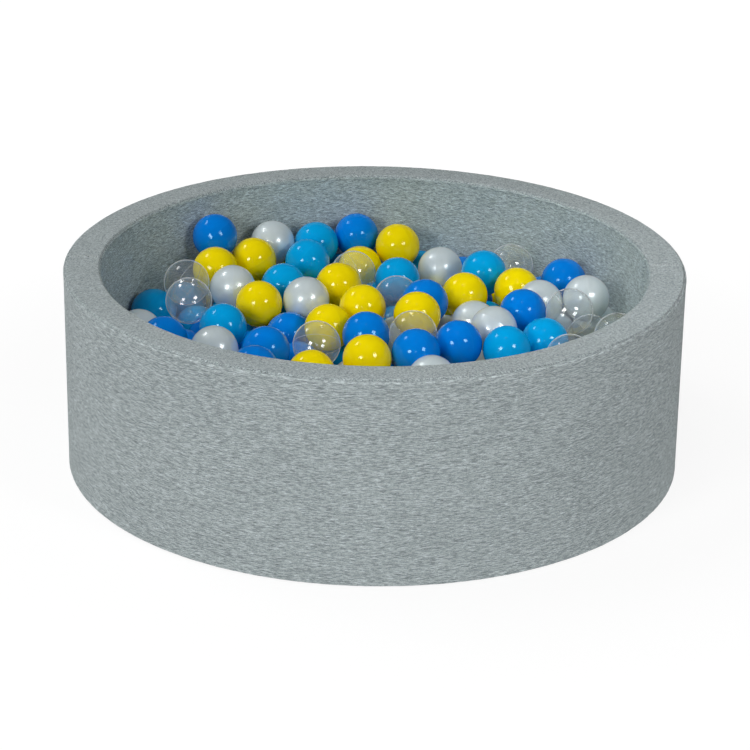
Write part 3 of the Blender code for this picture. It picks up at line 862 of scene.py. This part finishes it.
def makeCover():
    edge, outer, inner = pit["edgeRound"], outerRadius, innerRadius
    outerTop = (outer - edge, pitHeight - edge)
    innerTop = (inner + edge, pitHeight - edge)
    first, last = cover["outerEnds"]
    addPanel(
        "outerWallPanel", "cover_outer_wall",
        path([(outerTop, edge, first, 0), (outer, edge), ((outer - edge, edge), edge, 0, last)]),
        wallJersey, outerRelief, (round(2 * math.pi * outer, 3), cover["outerFlat"]), "wallFoamRing",
        start=cover["outerStart"],
    )
    low = baseFoamTop + pit["clearance"]
    addPanel(
        "innerWallPanel", "cover_inner_wall",
        path([(inner, low), (inner, pitHeight - edge), (innerTop, edge, 180, cover["innerEnd"])]),
        innerJersey, innerRelief, (round(2 * math.pi * inner, 3), cover["innerFlat"]), "wallFoamRing",
        start=cover["innerStart"], fine=[cover["foldAngle"]],
    )
    first, last = cover["rimEnds"]
    line = path([(innerTop, edge, first, 90), (outer - edge, pitHeight), (outerTop, edge, 90, last)])
    gap = cover["panelGap"] / outer
    for name, node, start in (("rimPanelBack", "cover_rim_back", 0), ("rimPanelFront", "cover_rim_front", math.pi)):
        addPanel(  # a half ring: its width, and its length along the middle
            name, node, line, rimJersey, rimRelief,
            (outer - inner, math.pi * (outer + inner) / 2), "wallFoamRing",
            start=start + gap, sweep=math.pi - 2 * gap, steps=cover["steps"] // 2, fromAbove=True,
            fine=[start + gap, start + math.pi - gap],
        )
    height = floorTop - cover["floorSink"]
    addPanel(
        "floorPanel", "cover_floor",
        path([(cover["hole"], height), (inner - pit["clearance"], height)], cover["roundSpacing"]),
        innerJersey, roundRelief, (2 * inner, 2 * inner), "baseFoamMat", math.pi * inner**2,
        steps=cover["roundSteps"], fromAbove=True,
    )
    addPanel(
        "basePanel", "cover_base", path([(outer - edge, 0.0), (cover["hole"], 0.0)], cover["roundSpacing"]),
        wallJersey, roundRelief, (2 * outer, 2 * outer), "floor", math.pi * outer**2,
        steps=cover["roundSteps"], fromAbove=True,
    )


foam = {
    "slack": 0.0006,  # how far the ring's sides stay inside its solid
    "wallLow": 0.0004,  # the same for its lower and upper faces
    "wallHigh": 0.0008,
    "wallTurn": 0.008,  # radius of its rounded edges
    "wallSpacing": 0.008,
    "wallColumns": 240,
    "slit": 0.0006,  # where the strip's two ends meet, at the back
    "matSlack": 0.0012,  # between the mat's side and the ring
    "matSink": 0.0003,  # how far the mat's faces stay inside its solid
    "matTurn": 0.010,
    "weld": 1e-5,
}


def addFoam(name, node, mesh, material):
    piece = newObject(name, mesh, material)
    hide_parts(node)


def wallFoamMesh(inner, outer):
    low, high, turn = skin + foam["wallLow"], pitHeight - skin - foam["wallHigh"], foam["wallTurn"]
    line = path([
        ((inner + turn, high - turn), turn, 180, 90), (outer - turn, high),
        ((outer - turn, high - turn), turn, 90, 0), (outer, low + turn),
        ((outer - turn, low + turn), turn, 0, -90), (inner + turn, low), ((inner + turn, low + turn), turn, 270, 180),
    ], foam["wallSpacing"])
    columns, rows = foam["wallColumns"], len(line)
    slit = foam["slit"] / outer
    angle = math.pi / 2 + slit / 2 + (2 * math.pi - slit) * np.arange(columns + 1) / columns
    points = np.stack([
        line[None, :, 0] * np.cos(angle)[:, None], line[None, :, 0] * np.sin(angle)[:, None],
        np.broadcast_to(line[None, :, 1], (columns + 1, rows)),
    ], axis=2).reshape(-1, 3)
    grid = np.arange((columns + 1) * rows).reshape(columns + 1, rows)
    after = np.roll(grid, -1, axis=1)
    quads = np.stack([grid[:-1], after[:-1], after[1:], grid[1:]], axis=2).reshape(-1, 4).tolist()
    quads += [grid[0].tolist()[::-1], grid[-1].tolist()]
    mesh = bpy.data.meshes.new("wallFoamRing")
    mesh.from_pydata(points.tolist(), [], quads)
    smooth(mesh)
    return mesh


def baseFoamMesh(radius):
    low, high, turn = skin + foam["matSink"], baseFoamTop - foam["matSink"], foam["matTurn"]
    line = path([
        (cover["hole"], high), (radius - turn, high), ((radius - turn, high - turn), turn, 90, 0),
        (radius, low + turn), ((radius - turn, low + turn), turn, 0, -90), (cover["hole"], low),
    ], cover["roundSpacing"])
    work = bmesh.new()
    profile = [work.verts.new((r, 0, z)) for r, z in line]
    edges = [work.edges.new(pair) for pair in zip(profile, profile[1:])]
    bmesh.ops.spin(
        work, geom=profile + edges, cent=(0, 0, 0), axis=(0, 0, 1), angle=2 * math.pi,
        steps=cover["roundSteps"], use_merge=True,
    )
    bmesh.ops.remove_doubles(work, verts=work.verts, dist=foam["weld"])
    bmesh.ops.holes_fill(work, edges=[edge for edge in work.edges if edge.is_boundary], sides=0)
    bmesh.ops.recalc_face_normals(work, faces=work.faces)
    mesh = bpy.data.meshes.new("baseFoamMat")
    work.to_mesh(mesh)
    work.free()
    mesh.shade_smooth()
    return mesh


def makeFoam():
    material = foamMaterial()
    outer = pit["foamDiameter"] / 2 - foam["slack"]
    inner = pit["foamDiameter"] / 2 - pit["wallFoamThickness"] + foam["slack"]
    addFoam("wallFoamRing", "wall_foam", wallFoamMesh(inner, outer), material)
    addFoam("baseFoamMat", "base_foam", baseFoamMesh(inner - foam["matSlack"]), material)


makeFoam()
makeCover()

print("4 zip and stitching")

zipper = {
    "height": 0.024,
    "start": math.radians(15),
    "sweep": math.radians(150),
    "step": math.radians(7.5),  # bare tape before and behind the chain
    "tapeWidth": 0.024,
    "tapeThickness": 0.0008,
    "tapeRidge": (0.00012, 0.003),  # height and width of the swell under the chain
    "tapeSteps": 300,
    "tapeSpacing": 0.002,
    "toothPitch": 0.0016,  # from one tooth to the next on the same side
    "toothSize": (0.00105, 0.0013, 0.0040),  # along the tape, out of it, and across it
    "toothOverlap": 0.0008,  # how far a tooth reaches past the chain's middle
    "sewn": 0.0095,  # from the chain's middle to a row of stitches
    "sewnEnd": 0.01,  # how far before the tape's end the stitches stop, as an angle
    "sewnAbove": 0.0001,
    "arcSteps": (240, 480),  # of a row of stitches and of the chain
}
stitching = {
    "length": 0.0026,
    "pitch": 0.0036,
    "thickness": 0.00055,
    "rimLength": 0.0021,
    "rimThickness": 0.0009,
    "rimAside": 0.0020,  # from the rim's radial seam to the row of stitches on either side
    "rimAbove": 0.0001,
    "rimReach": (0.12, 0.88),  # from and to, as shares of the rim's width
    "rimSteps": 24,
    "bead": (6, 5),  # segments and rings of one stitch or tooth
}


def shapeTree(name, inputs):
    tree = bpy.data.node_groups.new(name, "GeometryNodeTree")
    tree.interface.new_socket("Geometry", in_out="INPUT", socket_type="NodeSocketGeometry")
    for label, kind in inputs.items():
        tree.interface.new_socket(label, in_out="INPUT", socket_type="NodeSocket" + kind)
    tree.interface.new_socket("Geometry", in_out="OUTPUT", socket_type="NodeSocketGeometry")
    graph = Graph(tree)
    return graph, graph.addAll("NodeGroupInput")


def closeTree(graph, shape, material):
    real = graph.add("GeometryNodeRealizeInstances", {}, {0: shape})
    painted = graph.add("GeometryNodeSetMaterial", {}, {"Geometry": real, "Material": material})
    graph.add("NodeGroupOutput", {}, {0: painted})
    return graph.tree


def grow(name, mesh, tree, values):
    # Runs a tree over a mesh and keeps the result as a plain mesh
    seed = bpy.data.objects.new(name, mesh)
    scene.collection.objects.link(seed)
    modifier = seed.modifiers.new("shape", "NODES")
    modifier.node_group = tree
    for item in tree.interface.items_tree:
        if item.item_type == "SOCKET" and item.in_out == "INPUT" and item.name in values:
            modifier[item.identifier] = values[item.name]
    bpy.context.view_layer.update()
    made = bpy.data.meshes.new_from_object(seed.evaluated_get(bpy.context.evaluated_depsgraph_get()))
    bpy.data.objects.remove(seed)
    made.name = name
    return newObject(name, made)


def beadTree(name, axis):
    # Beads along a line, whose own axis follows it. They sit below and above it in turn, by Zigzag
    graph, given = shapeTree(name, {"Pitch": "Float", "Size": "Vector", "Zigzag": "Float", "Material": "Material"})
    curve = graph.add("GeometryNodeMeshToCurve", {}, {"Mesh": given["Geometry"]})
    points = graph.addAll("GeometryNodeCurveToPoints", {"mode": "LENGTH"}, {"Curve": curve, "Length": given["Pitch"]})
    segments, rings = stitching["bead"]
    bead = graph.add("GeometryNodeMeshUVSphere", {}, {"Segments": segments, "Rings": rings, "Radius": 0.5})
    odd = graph.add("GeometryNodeInputIndex") % 2
    moved = graph.add("GeometryNodeSetPosition", {}, {
        "Geometry": points["Points"], "Offset": graph.vector(0.0, 0.0, (odd * 2 - 1) * given["Zigzag"]),
    })
    way = graph.add("FunctionNodeAlignEulerToVector", {"axis": axis}, {"Vector": points["Tangent"]})
    placed = graph.add("GeometryNodeInstanceOnPoints", {}, {
        "Points": moved, "Instance": bead, "Rotation": way, "Scale": given["Size"],
    })
    return closeTree(graph, placed, given["Material"])


def polyline(name, points):
    mesh = bpy.data.meshes.new(name)
    mesh.from_pydata([tuple(point) for point in points], [(i, i + 1) for i in range(len(points) - 1)], [])
    return mesh


def ringArc(radius, height, start, sweep, count):
    angles = [start + sweep * i / count for i in range(count + 1)]
    return [(radius * math.cos(angle), radius * math.sin(angle), height) for angle in angles]


def addStitches(name, points, tree, length, thickness, material):
    row = grow(name, polyline("row", points), tree, {
        "Pitch": stitching["pitch"], "Size": (thickness, thickness, length), "Zigzag": 0.0, "Material": material,
    })
    return row


def tapeRelief(angle, along, total):
    height, width = zipper["tapeRidge"]
    return height * bell(along - total / 2, width)


def makeZip(stitches):
    face = outerRadius + pit["clearance"] + zipper["tapeThickness"]
    middle, half = zipper["height"], zipper["tapeWidth"] / 2
    start, sweep = zipper["start"], zipper["sweep"]
    tape = revolve(
        "zipTape", path([(face, middle + half), (face, middle - half)], zipper["tapeSpacing"]), tapeMaterial(),
        zipper["tapeThickness"], tapeRelief, start=start, sweep=sweep, steps=zipper["tapeSteps"],
    )
    rowSteps, chainSteps = zipper["arcSteps"]
    for label, side in (("Low", -1), ("High", 1)):
        height, end = middle + side * zipper["sewn"], zipper["sewnEnd"]
        line = ringArc(face + zipper["sewnAbove"], height, start + end, sweep - 2 * end, rowSteps)
        addStitches(
            "zipStitches" + label, line, stitches, stitching["length"], stitching["thickness"], seamThread
        )
    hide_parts("zip_tape")

    _, out, across = zipper["toothSize"]
    radius, step = face + pit["clearance"] + out / 2, zipper["step"]
    line = ringArc(radius, middle, start + step, sweep - 2 * step, chainSteps)
    chain = grow("zipTeeth", polyline("chain", line), beadTree("zipTeeth", "X"), {
        "Pitch": zipper["toothPitch"] / 2, "Size": zipper["toothSize"],
        "Zigzag": across / 2 - zipper["toothOverlap"], "Material": toothMaterial(),
    })
    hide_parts("zip_chain")
    metal = metalMaterial()
    for node in ("zip_slider", "zip_pull", "zip_stop_left", "zip_stop_right"):
        for slot in frame["nodes"][node].material_slots:
            slot.material = metal


def makeRimStitches(stitches):
    material = threadMaterial("rimThread", thread["rimColour"])
    for label, angle in (("Left", math.pi), ("Right", 0.0)):
        way = Vector((math.cos(angle), math.sin(angle), 0))
        for letter, aside in (("A", -stitching["rimAside"]), ("B", stitching["rimAside"])):
            side = Vector((-way.y, way.x, 0)) * aside
            points = []
            for share in np.linspace(*stitching["rimReach"], stitching["rimSteps"]):
                radius = innerRadius + share * (outerRadius - innerRadius)
                lift = rimRelief(np.array([angle + aside / radius]), share, 1.0)[0] + stitching["rimAbove"]
                points.append(way * radius + side + Vector((0, 0, pitHeight + lift)))
            addStitches(
                f"rimStitches{label}{letter}", points, stitches,
                stitching["rimLength"], stitching["rimThickness"], material,
            )


stitches = beadTree("stitchRow", "Z")
makeZip(stitches)
makeRimStitches(stitches)

print("5 the heap of balls")

# Each visible ball: colour, pixel across, pixel down, level against the heap's surface in ball radii.
heap = {
    "ballDiameter": 0.070,
    "ballGap": 0.0004,  # at least, between two balls
    "depthShare": 1.949,  # height of the heap's top over the floor panel, in ball diameters
    "spacingShare": 1.093,  # from one hidden ball to the next, and from layer to layer
    "riseShare": 0.671,
    "crowdingShare": 0.80,  # no hidden ball starts closer than this to a visible one
    "holeShare": 0.043,  # a ball that would fall further than this gets another one under it
    "riseToBack": 0.11,  # slope of the heap's surface
    "fallToRight": 0.042,
    "frontShare": 0.50,  # further forward than this, hidden balls may lie at the top
    "fillRounds": 2,  # of such filling
    "rounds": 400,  # of moving the balls apart, each with a few passes
    "passes": 4,
    "quietShare": 0.75,  # of the rounds in which the balls are pulled down and held on their sight lines
    "pullShare": 0.023,  # of its radius that a ball is pulled down in the first round, and less each time
    "holdShare": 0.3,  # of the way back to its sight line that a visible ball goes in a pass
    "nearShare": 1.25,  # only balls closer than this are compared
    "single": [
        ("blue", 215.0, 236.3, 0.0), ("white", 272.6, 242.7, 0.0), ("light_blue", 316.5, 245.1, 0.0),
        ("light_blue", 308.5, 263.6, 0.0), ("blue", 356.6, 235.9, 0.0), ("light_blue", 284.0, 285.9, 0.0),
        ("clear", 353.9, 273.6, 0.0), ("yellow", 338.4, 286.1, 0.0), ("white", 232.7, 287.9, 0.0),
        ("clear", 185.7, 283.5, 0.3), ("clear", 188.9, 300.8, 0.0), ("yellow", 259.0, 304.0, 0.0),
        ("white", 306.0, 300.9, 0.0), ("blue", 163.8, 340.0, -0.15), ("light_blue", 223.8, 327.8, 0.0),
        ("white", 213.8, 350.1, 0.0), ("blue", 265.4, 351.2, -0.3), ("blue", 254.3, 369.6, -0.3),
        ("clear", 316.3, 345.4, 0.35), ("yellow", 328.8, 328.3, -0.25), ("yellow", 362.4, 307.9, 0.0),
        ("yellow", 397.7, 245.2, 0.0), ("white", 440.5, 269.3, 0.0), ("light_blue", 484.1, 273.3, 0.15),
        ("yellow", 465.0, 296.2, 0.0), ("blue", 563.4, 281.0, 0.0), ("white", 585.1, 298.9, 0.0),
        ("blue", 523.0, 312.2, 0.0), ("clear", 569.3, 312.3, 0.3), ("light_blue", 507.0, 349.7, 0.0),
        ("blue", 416.2, 353.9, 0.0), ("yellow", 417.2, 315.0, 0.0), ("blue", 424.0, 302.8, 0.25),
        ("clear", 413.4, 334.0, 0.0), ("clear", 569.5, 357.8, -0.3), ("white", 139.5, 332.6, -0.3),
        ("clear", 617.6, 336.5, -0.3), ("blue", 365.9, 335.9, 0.0), ("yellow", 367.1, 361.4, 0.0),
        ("blue", 458.0, 344.0, 0.0), ("light_blue", 544.5, 342.3, 0.0), ("yellow", 253.9, 260.3, 0.0),
        ("yellow", 215.6, 270.8, 0.0),
    ],
    "joined": [
        ("yellow", 360.2, 268.3, -0.3), ("light_blue", 154.3, 313.3, -0.6), ("blue", 287.5, 335.5, -0.6),
        ("blue", 298.0, 365.0, -0.85), ("yellow", 311.0, 374.2, 0.0), ("light_blue", 397.2, 278.9, 0.0),
        ("light_blue", 418.0, 272.0, -1.0), ("clear", 512.0, 268.0, 0.0), ("yellow", 516.0, 291.0, 0.0),
        ("white", 540.3, 302.6, 0.0), ("white", 431.7, 379.4, 0.0), ("clear", 397.0, 300.0, -0.45),
        ("white", 474.2, 324.0, -0.15), ("white", 493.6, 329.8, 0.0), ("clear", 589.5, 337.3, -0.45),
        ("white", 595.2, 325.5, -0.85), ("white", 398.5, 338.5, -1.0), ("white", 446.0, 338.0, -1.3),
        ("blue", 463.0, 279.0, -1.15), ("blue", 541.0, 297.0, -1.0), ("light_blue", 184.0, 295.0, -1.3),
    ],
    # What shows in the gaps between them: colour and pixel of a ball further down
    "glimpses": [
        ("blue", 190, 334), ("light_blue", 186, 326), ("blue", 195, 327), ("blue", 243, 341),
        ("light_blue", 250, 328), ("light_blue", 283, 311), ("light_blue", 340, 356), ("light_blue", 335, 258),
        ("yellow", 448, 313), ("blue", 490, 298), ("yellow", 494, 299), ("light_blue", 492, 304),
        ("white", 481, 356), ("light_blue", 191, 314), ("light_blue", 333, 354), ("white", 566, 323),
        ("light_blue", 390, 312), ("light_blue", 389, 303),
    ],
}
ballDiameter = heap["ballDiameter"]
ballRadius = ballDiameter / 2
heapTop = floorTop + heap["depthShare"] * ballDiameter
stepAngle = 2 * math.pi / pit["ringSteps"]
innerFacetRadius = innerRadius * math.cos(stepAngle / 2)
# How close two balls' middles may come, and how low and how far out a ball's middle may lie
apart = ballDiameter + heap["ballGap"]
lowest = floorTop + ballRadius + heap["ballGap"]
widest = innerFacetRadius - ballRadius - heap["ballGap"]


def lengthsOf(offsets):
    x, y, z = offsets.T
    return np.sqrt(x * x + y * y + z * z)


def sightLines(pixels):
    pitch, roll = eyeView["pitch"], eyeView["roll"]
    back = np.array([0.0, -math.cos(pitch), math.sin(pitch)])
    up = np.array([0.0, math.sin(pitch), math.cos(pitch)])
    right = np.array([1.0, 0.0, 0.0])
    target = np.array([0.0, 0.0, eyeView["targetShare"] * heapTop])
    eye = target + back * eyeView["distanceShare"] * 2 * outerRadius
    across, down = (pixels - np.array(eyeView["centrePixel"])).T / eyeView["focalPixels"]
    level = math.cos(roll) * across + math.sin(roll) * down
    plumb = math.cos(roll) * down - math.sin(roll) * across
    lines = level[:, None] * right - plumb[:, None] * up - back
    return eye, lines / lengthsOf(lines)[:, None]


def meetHeap(eye, lines, lifts):
    slope = np.array([-heap["fallToRight"], heap["riseToBack"], -1.0])
    fall = lines[:, 0] * slope[0] + lines[:, 1] * slope[1] + lines[:, 2] * slope[2]
    start = eye[0] * slope[0] + eye[1] * slope[1] + eye[2] * slope[2]
    reach = -(start + heapTop + lifts) / fall
    return eye + lines * reach[:, None]


def hiddenBalls(visible):
    spacing = heap["spacingShare"] * ballDiameter
    rise = heap["riseShare"] * ballDiameter
    count = int(innerRadius / spacing) + 1
    found = []
    for layer in range(int(heapTop / rise) + 1):
        height = floorTop + ballRadius + layer * rise
        shift = spacing / 2 * (layer % 2)
        for i in range(-count, count + 1):
            for j in range(-count, count + 1):
                place = np.array([i * spacing + shift, j * spacing + shift, height])
                inside = math.hypot(place[0], place[1]) < innerRadius - ballRadius
                seen = place[1] > -heap["frontShare"] * innerRadius
                buried = height < heapTop - ballRadius * seen
                crowded = (lengthsOf(visible - place) < heap["crowdingShare"] * ballDiameter).any()
                if inside and buried and not crowded:
                    found.append(place)
    return np.array(found)


def settle(balls, eye, lines):
    # Moves the balls apart and down until none overlaps, the visible ones along their sight lines
    rounds = heap["rounds"]
    first, second = np.triu_indices(len(balls), 1)
    count = len(lines)
    for turn in range(rounds):
        if turn % 10 == 0:  # now and then it is looked up anew which balls are near each other
            near = lengthsOf(balls[second] - balls[first]) < heap["nearShare"] * apart
            one, other = first[near], second[near]
        guided = turn < heap["quietShare"] * rounds
        if guided:
            balls[:, 2] -= heap["pullShare"] * ballRadius * (1 - turn / rounds)
        for _ in range(heap["passes"]):
            if guided:
                x, y, z = (balls[:count] - eye).T
                reach = x * lines[:, 0] + y * lines[:, 1] + z * lines[:, 2]
                balls[:count] += (eye + lines * reach[:, None] - balls[:count]) * heap["holdShare"]
            offset = balls[other] - balls[one]
            length = lengthsOf(offset)
            close = length < apart
            push = offset[close] * ((apart - length[close]) / length[close] / 2)[:, None]
            move = np.zeros_like(balls)
            np.add.at(move, one[close], -push)
            np.add.at(move, other[close], push)
            balls += move
            x, y = balls[:, 0], balls[:, 1]
            away = np.sqrt(x * x + y * y)
            balls[:, :2] *= np.where(away > widest, widest / np.maximum(away, widest), 1.0)[:, None]
            balls[:, 2] = np.maximum(balls[:, 2], lowest)
    return balls


def drop(balls):
    # Lets each ball that rests on nothing fall straight down onto what lies under it
    order = np.argsort(balls[:, 2], kind="stable")
    for rank, i in enumerate(order):
        offset = balls[i] - balls[order[:rank]]
        if (lengthsOf(offset) < apart + heap["ballGap"]).any():
            continue
        spread = offset[:, 0] ** 2 + offset[:, 1] ** 2
        under = spread < apart**2
        rests = balls[order[:rank], 2][under] + np.sqrt(apart**2 - spread[under])
        balls[i, 2] = max([lowest, *rests])
    return balls


def wholeHeap(seen, eye, lines):
    balls = settle(np.vstack([seen, hiddenBalls(seen)]), eye, lines)
    below = np.array([0.0, 0.0, apart])
    for _ in range(heap["fillRounds"]):
        fall = balls[:, 2] - drop(balls.copy())[:, 2]
        fillers = balls[fall > heap["holeShare"] * ballDiameter] - below
        balls = settle(np.vstack([balls, fillers]), eye, lines)
    return drop(balls)


ball = {
    "segments": 48,
    "latitudes": 24,
    "hiddenSegments": 28,
    "hiddenLatitudes": 14,
    "extraLevels": (0.45, 1.1, 84.2, 86.6, 87.8),  # finer rings at the mould line and the moulding marks
    "ridge": 0.00009,  # height and width of the mould line
    "ridgeWidth": math.radians(0.55),
    "gate": 0.00022,  # depth, reach and width of the small moulding mark at each pole
    "gateReach": math.radians(3.4),
    "gateWidth": math.radians(0.9),
    "shrink": 0.00005,  # how far the skin stays inside the CAD ball
    "palette": ("blue", "light_blue", "yellow", "white"),  # of the balls that can't be seen
    "seed": 41,
}


def keepOn(mesh, name, kind, values):
    # Numbers or vectors on a mesh's points, which its material or a tree reads
    attribute = mesh.attributes.new(name, kind, "POINT")
    attribute.data.foreach_set("value" if kind == "FLOAT" else "vector", np.asarray(values, np.float32).ravel())


def reachAt(latitude):
    # How far the ball's surface is from its middle: out at the mould line, in round the moulding marks
    fromPole = math.pi / 2 - abs(latitude)
    ridge = ball["ridge"] * bell(latitude, ball["ridgeWidth"])
    return ballRadius - ball["shrink"] + ridge - ball["gate"] * bell(fromPole - ball["gateReach"], ball["gateWidth"])


def ballMesh(name, segments, latitudes):
    # A sphere with a fine mould line round its middle and a moulding mark at each pole
    levels = {0.0, *(-90 + 180 * i / latitudes for i in range(1, latitudes))}
    levels |= {side * level for side in (-1, 1) for level in ball["extraLevels"]}
    work = bmesh.new()
    rings = []
    for level in sorted(math.radians(level) for level in levels):
        radius, height = reachAt(level) * math.cos(level), reachAt(level) * math.sin(level)
        angles = [2 * math.pi * i / segments for i in range(segments)]
        rings.append([work.verts.new((radius * math.cos(a), radius * math.sin(a), height)) for a in angles])
    pole = ballRadius - ball["shrink"]
    bottom, top = work.verts.new((0, 0, -pole)), work.verts.new((0, 0, pole))
    around = [(i, (i + 1) % segments) for i in range(segments)]
    for low, high in zip(rings, rings[1:]):
        for i, j in around:
            work.faces.new((low[i], low[j], high[j], high[i]))
    for i, j in around:
        work.faces.new((bottom, rings[0][j], rings[0][i]))
        work.faces.new((top, rings[-1][i], rings[-1][j]))
    mesh = bpy.data.meshes.new(name)
    work.to_mesh(mesh)
    work.free()
    mesh.shade_smooth()
    ways = np.zeros(len(mesh.vertices) * 3)
    mesh.vertices.foreach_get("co", ways)
    keepOn(mesh, "way", "FLOAT_VECTOR", ways / ballRadius)
    return mesh


def ballsTree():
    graph, given = shapeTree("ballsAtPlaces", {"Ball": "Object", "Material": "Material"})
    shape = graph.add(
        "GeometryNodeObjectInfo", {"transform_space": "ORIGINAL"}, {"Object": given["Ball"]}, "Geometry"
    )
    turn = graph.add(
        "GeometryNodeInputNamedAttribute", {"data_type": "FLOAT_VECTOR"}, {"Name": "turn"}, "Attribute"
    )
    placed = graph.add("GeometryNodeInstanceOnPoints", {}, {
        "Points": given["Geometry"], "Instance": shape,
        "Rotation": graph.add("FunctionNodeEulerToRotation", {}, {"Euler": turn}),
    })
    return closeTree(graph, placed, given["Material"])


def firstMet(places, eye, line):
    # Index of the ball that a sight line meets first
    offset = places - eye
    reach = offset @ line
    gap = (offset**2).sum(axis=1) - reach**2
    depth = np.where(gap < ballRadius**2, reach - np.sqrt(np.maximum(ballRadius**2 - gap, 0)), np.inf)
    return int(np.argmin(depth))


def planHeap():
    # Where each ball lies, its colour, its turn and its own number, the visible ones first
    visible = heap["single"] + heap["joined"]
    pixels = np.array([(across, down) for _, across, down, _ in visible])
    lifts = np.array([level for *_, level in visible]) * ballRadius
    eye, lines = sightLines(pixels)
    places = wholeHeap(meetHeap(eye, lines, lifts), eye, lines)
    rng = np.random.default_rng(ball["seed"])
    colours = [colour for colour, *_ in visible]
    colours += [ball["palette"][i] for i in rng.integers(0, len(ball["palette"]), len(places) - len(visible))]
    _, gaps = sightLines(np.array([(across, down) for _, across, down in heap["glimpses"]]))
    for (colour, *_), line in zip(heap["glimpses"], gaps):
        colours[len(visible) + firstMet(places[len(visible):], eye, line)] = colour
    turns = rng.uniform(-math.pi, math.pi, (len(places), 3))
    own = rng.uniform(0, 1, len(places))
    return places, colours, turns, own


def makeSingleBalls(places, turns, own):
    worst = 0.0
    template = ballMesh("ballTemplate", ball["segments"], ball["latitudes"])
    for i, (colour, *_) in enumerate(heap["single"]):
        node = f"ball_{i + 1:02d}_{colour}"
        low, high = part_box(node)
        place = Vector(places[i])
        worst = max(worst, (place - (low + high) / 2).length)
        mesh = template.copy()
        mesh.name = node
        mesh.transform(Matrix.Translation(place) @ Euler(turns[i]).to_matrix().to_4x4())
        keepOn(mesh, "own", "FLOAT", np.full(len(mesh.vertices), own[i]))
        body = node if node in frame["bodies"] else "pit"  # a ball under others is fixed to the pit
        piece = newObject(f"playBall{i + 1:02d}", mesh, finishes[colour], body)
        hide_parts(node)
    print("   largest distance from a CAD ball's middle:", round(worst * 1000, 2), "mm")


def makeJoinedBalls(places, colours, turns, own):
    template = newObject(
        "hiddenBall", ballMesh("hiddenBall", ball["hiddenSegments"], ball["hiddenLatitudes"]), body=None
    )
    tree = ballsTree()
    for colour, material in finishes.items():
        chosen = [i for i in range(len(heap["single"]), len(places)) if colours[i] == colour]
        mesh = bpy.data.meshes.new("places")
        mesh.from_pydata(places[chosen].tolist(), [], [])
        keepOn(mesh, "turn", "FLOAT_VECTOR", turns[chosen])
        keepOn(mesh, "own", "FLOAT", own[chosen])
        name = "playBallsUnder" + colour.title().replace("_", "")
        piece = grow(name, mesh, tree, {"Ball": template, "Material": material})
        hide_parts("balls_bottom_layer", "balls_middle_layer")
    bpy.data.objects.remove(template)


places, colours, turns, own = planHeap()
makeSingleBalls(places, turns, own)
makeJoinedBalls(places, colours, turns, own)
print("   balls:", len(places))
targetHeight = eyeView["targetShare"] * heapTop
makeCamera(targetHeight)
makeLamps(targetHeight)

scene.view_settings.view_transform = "Standard"
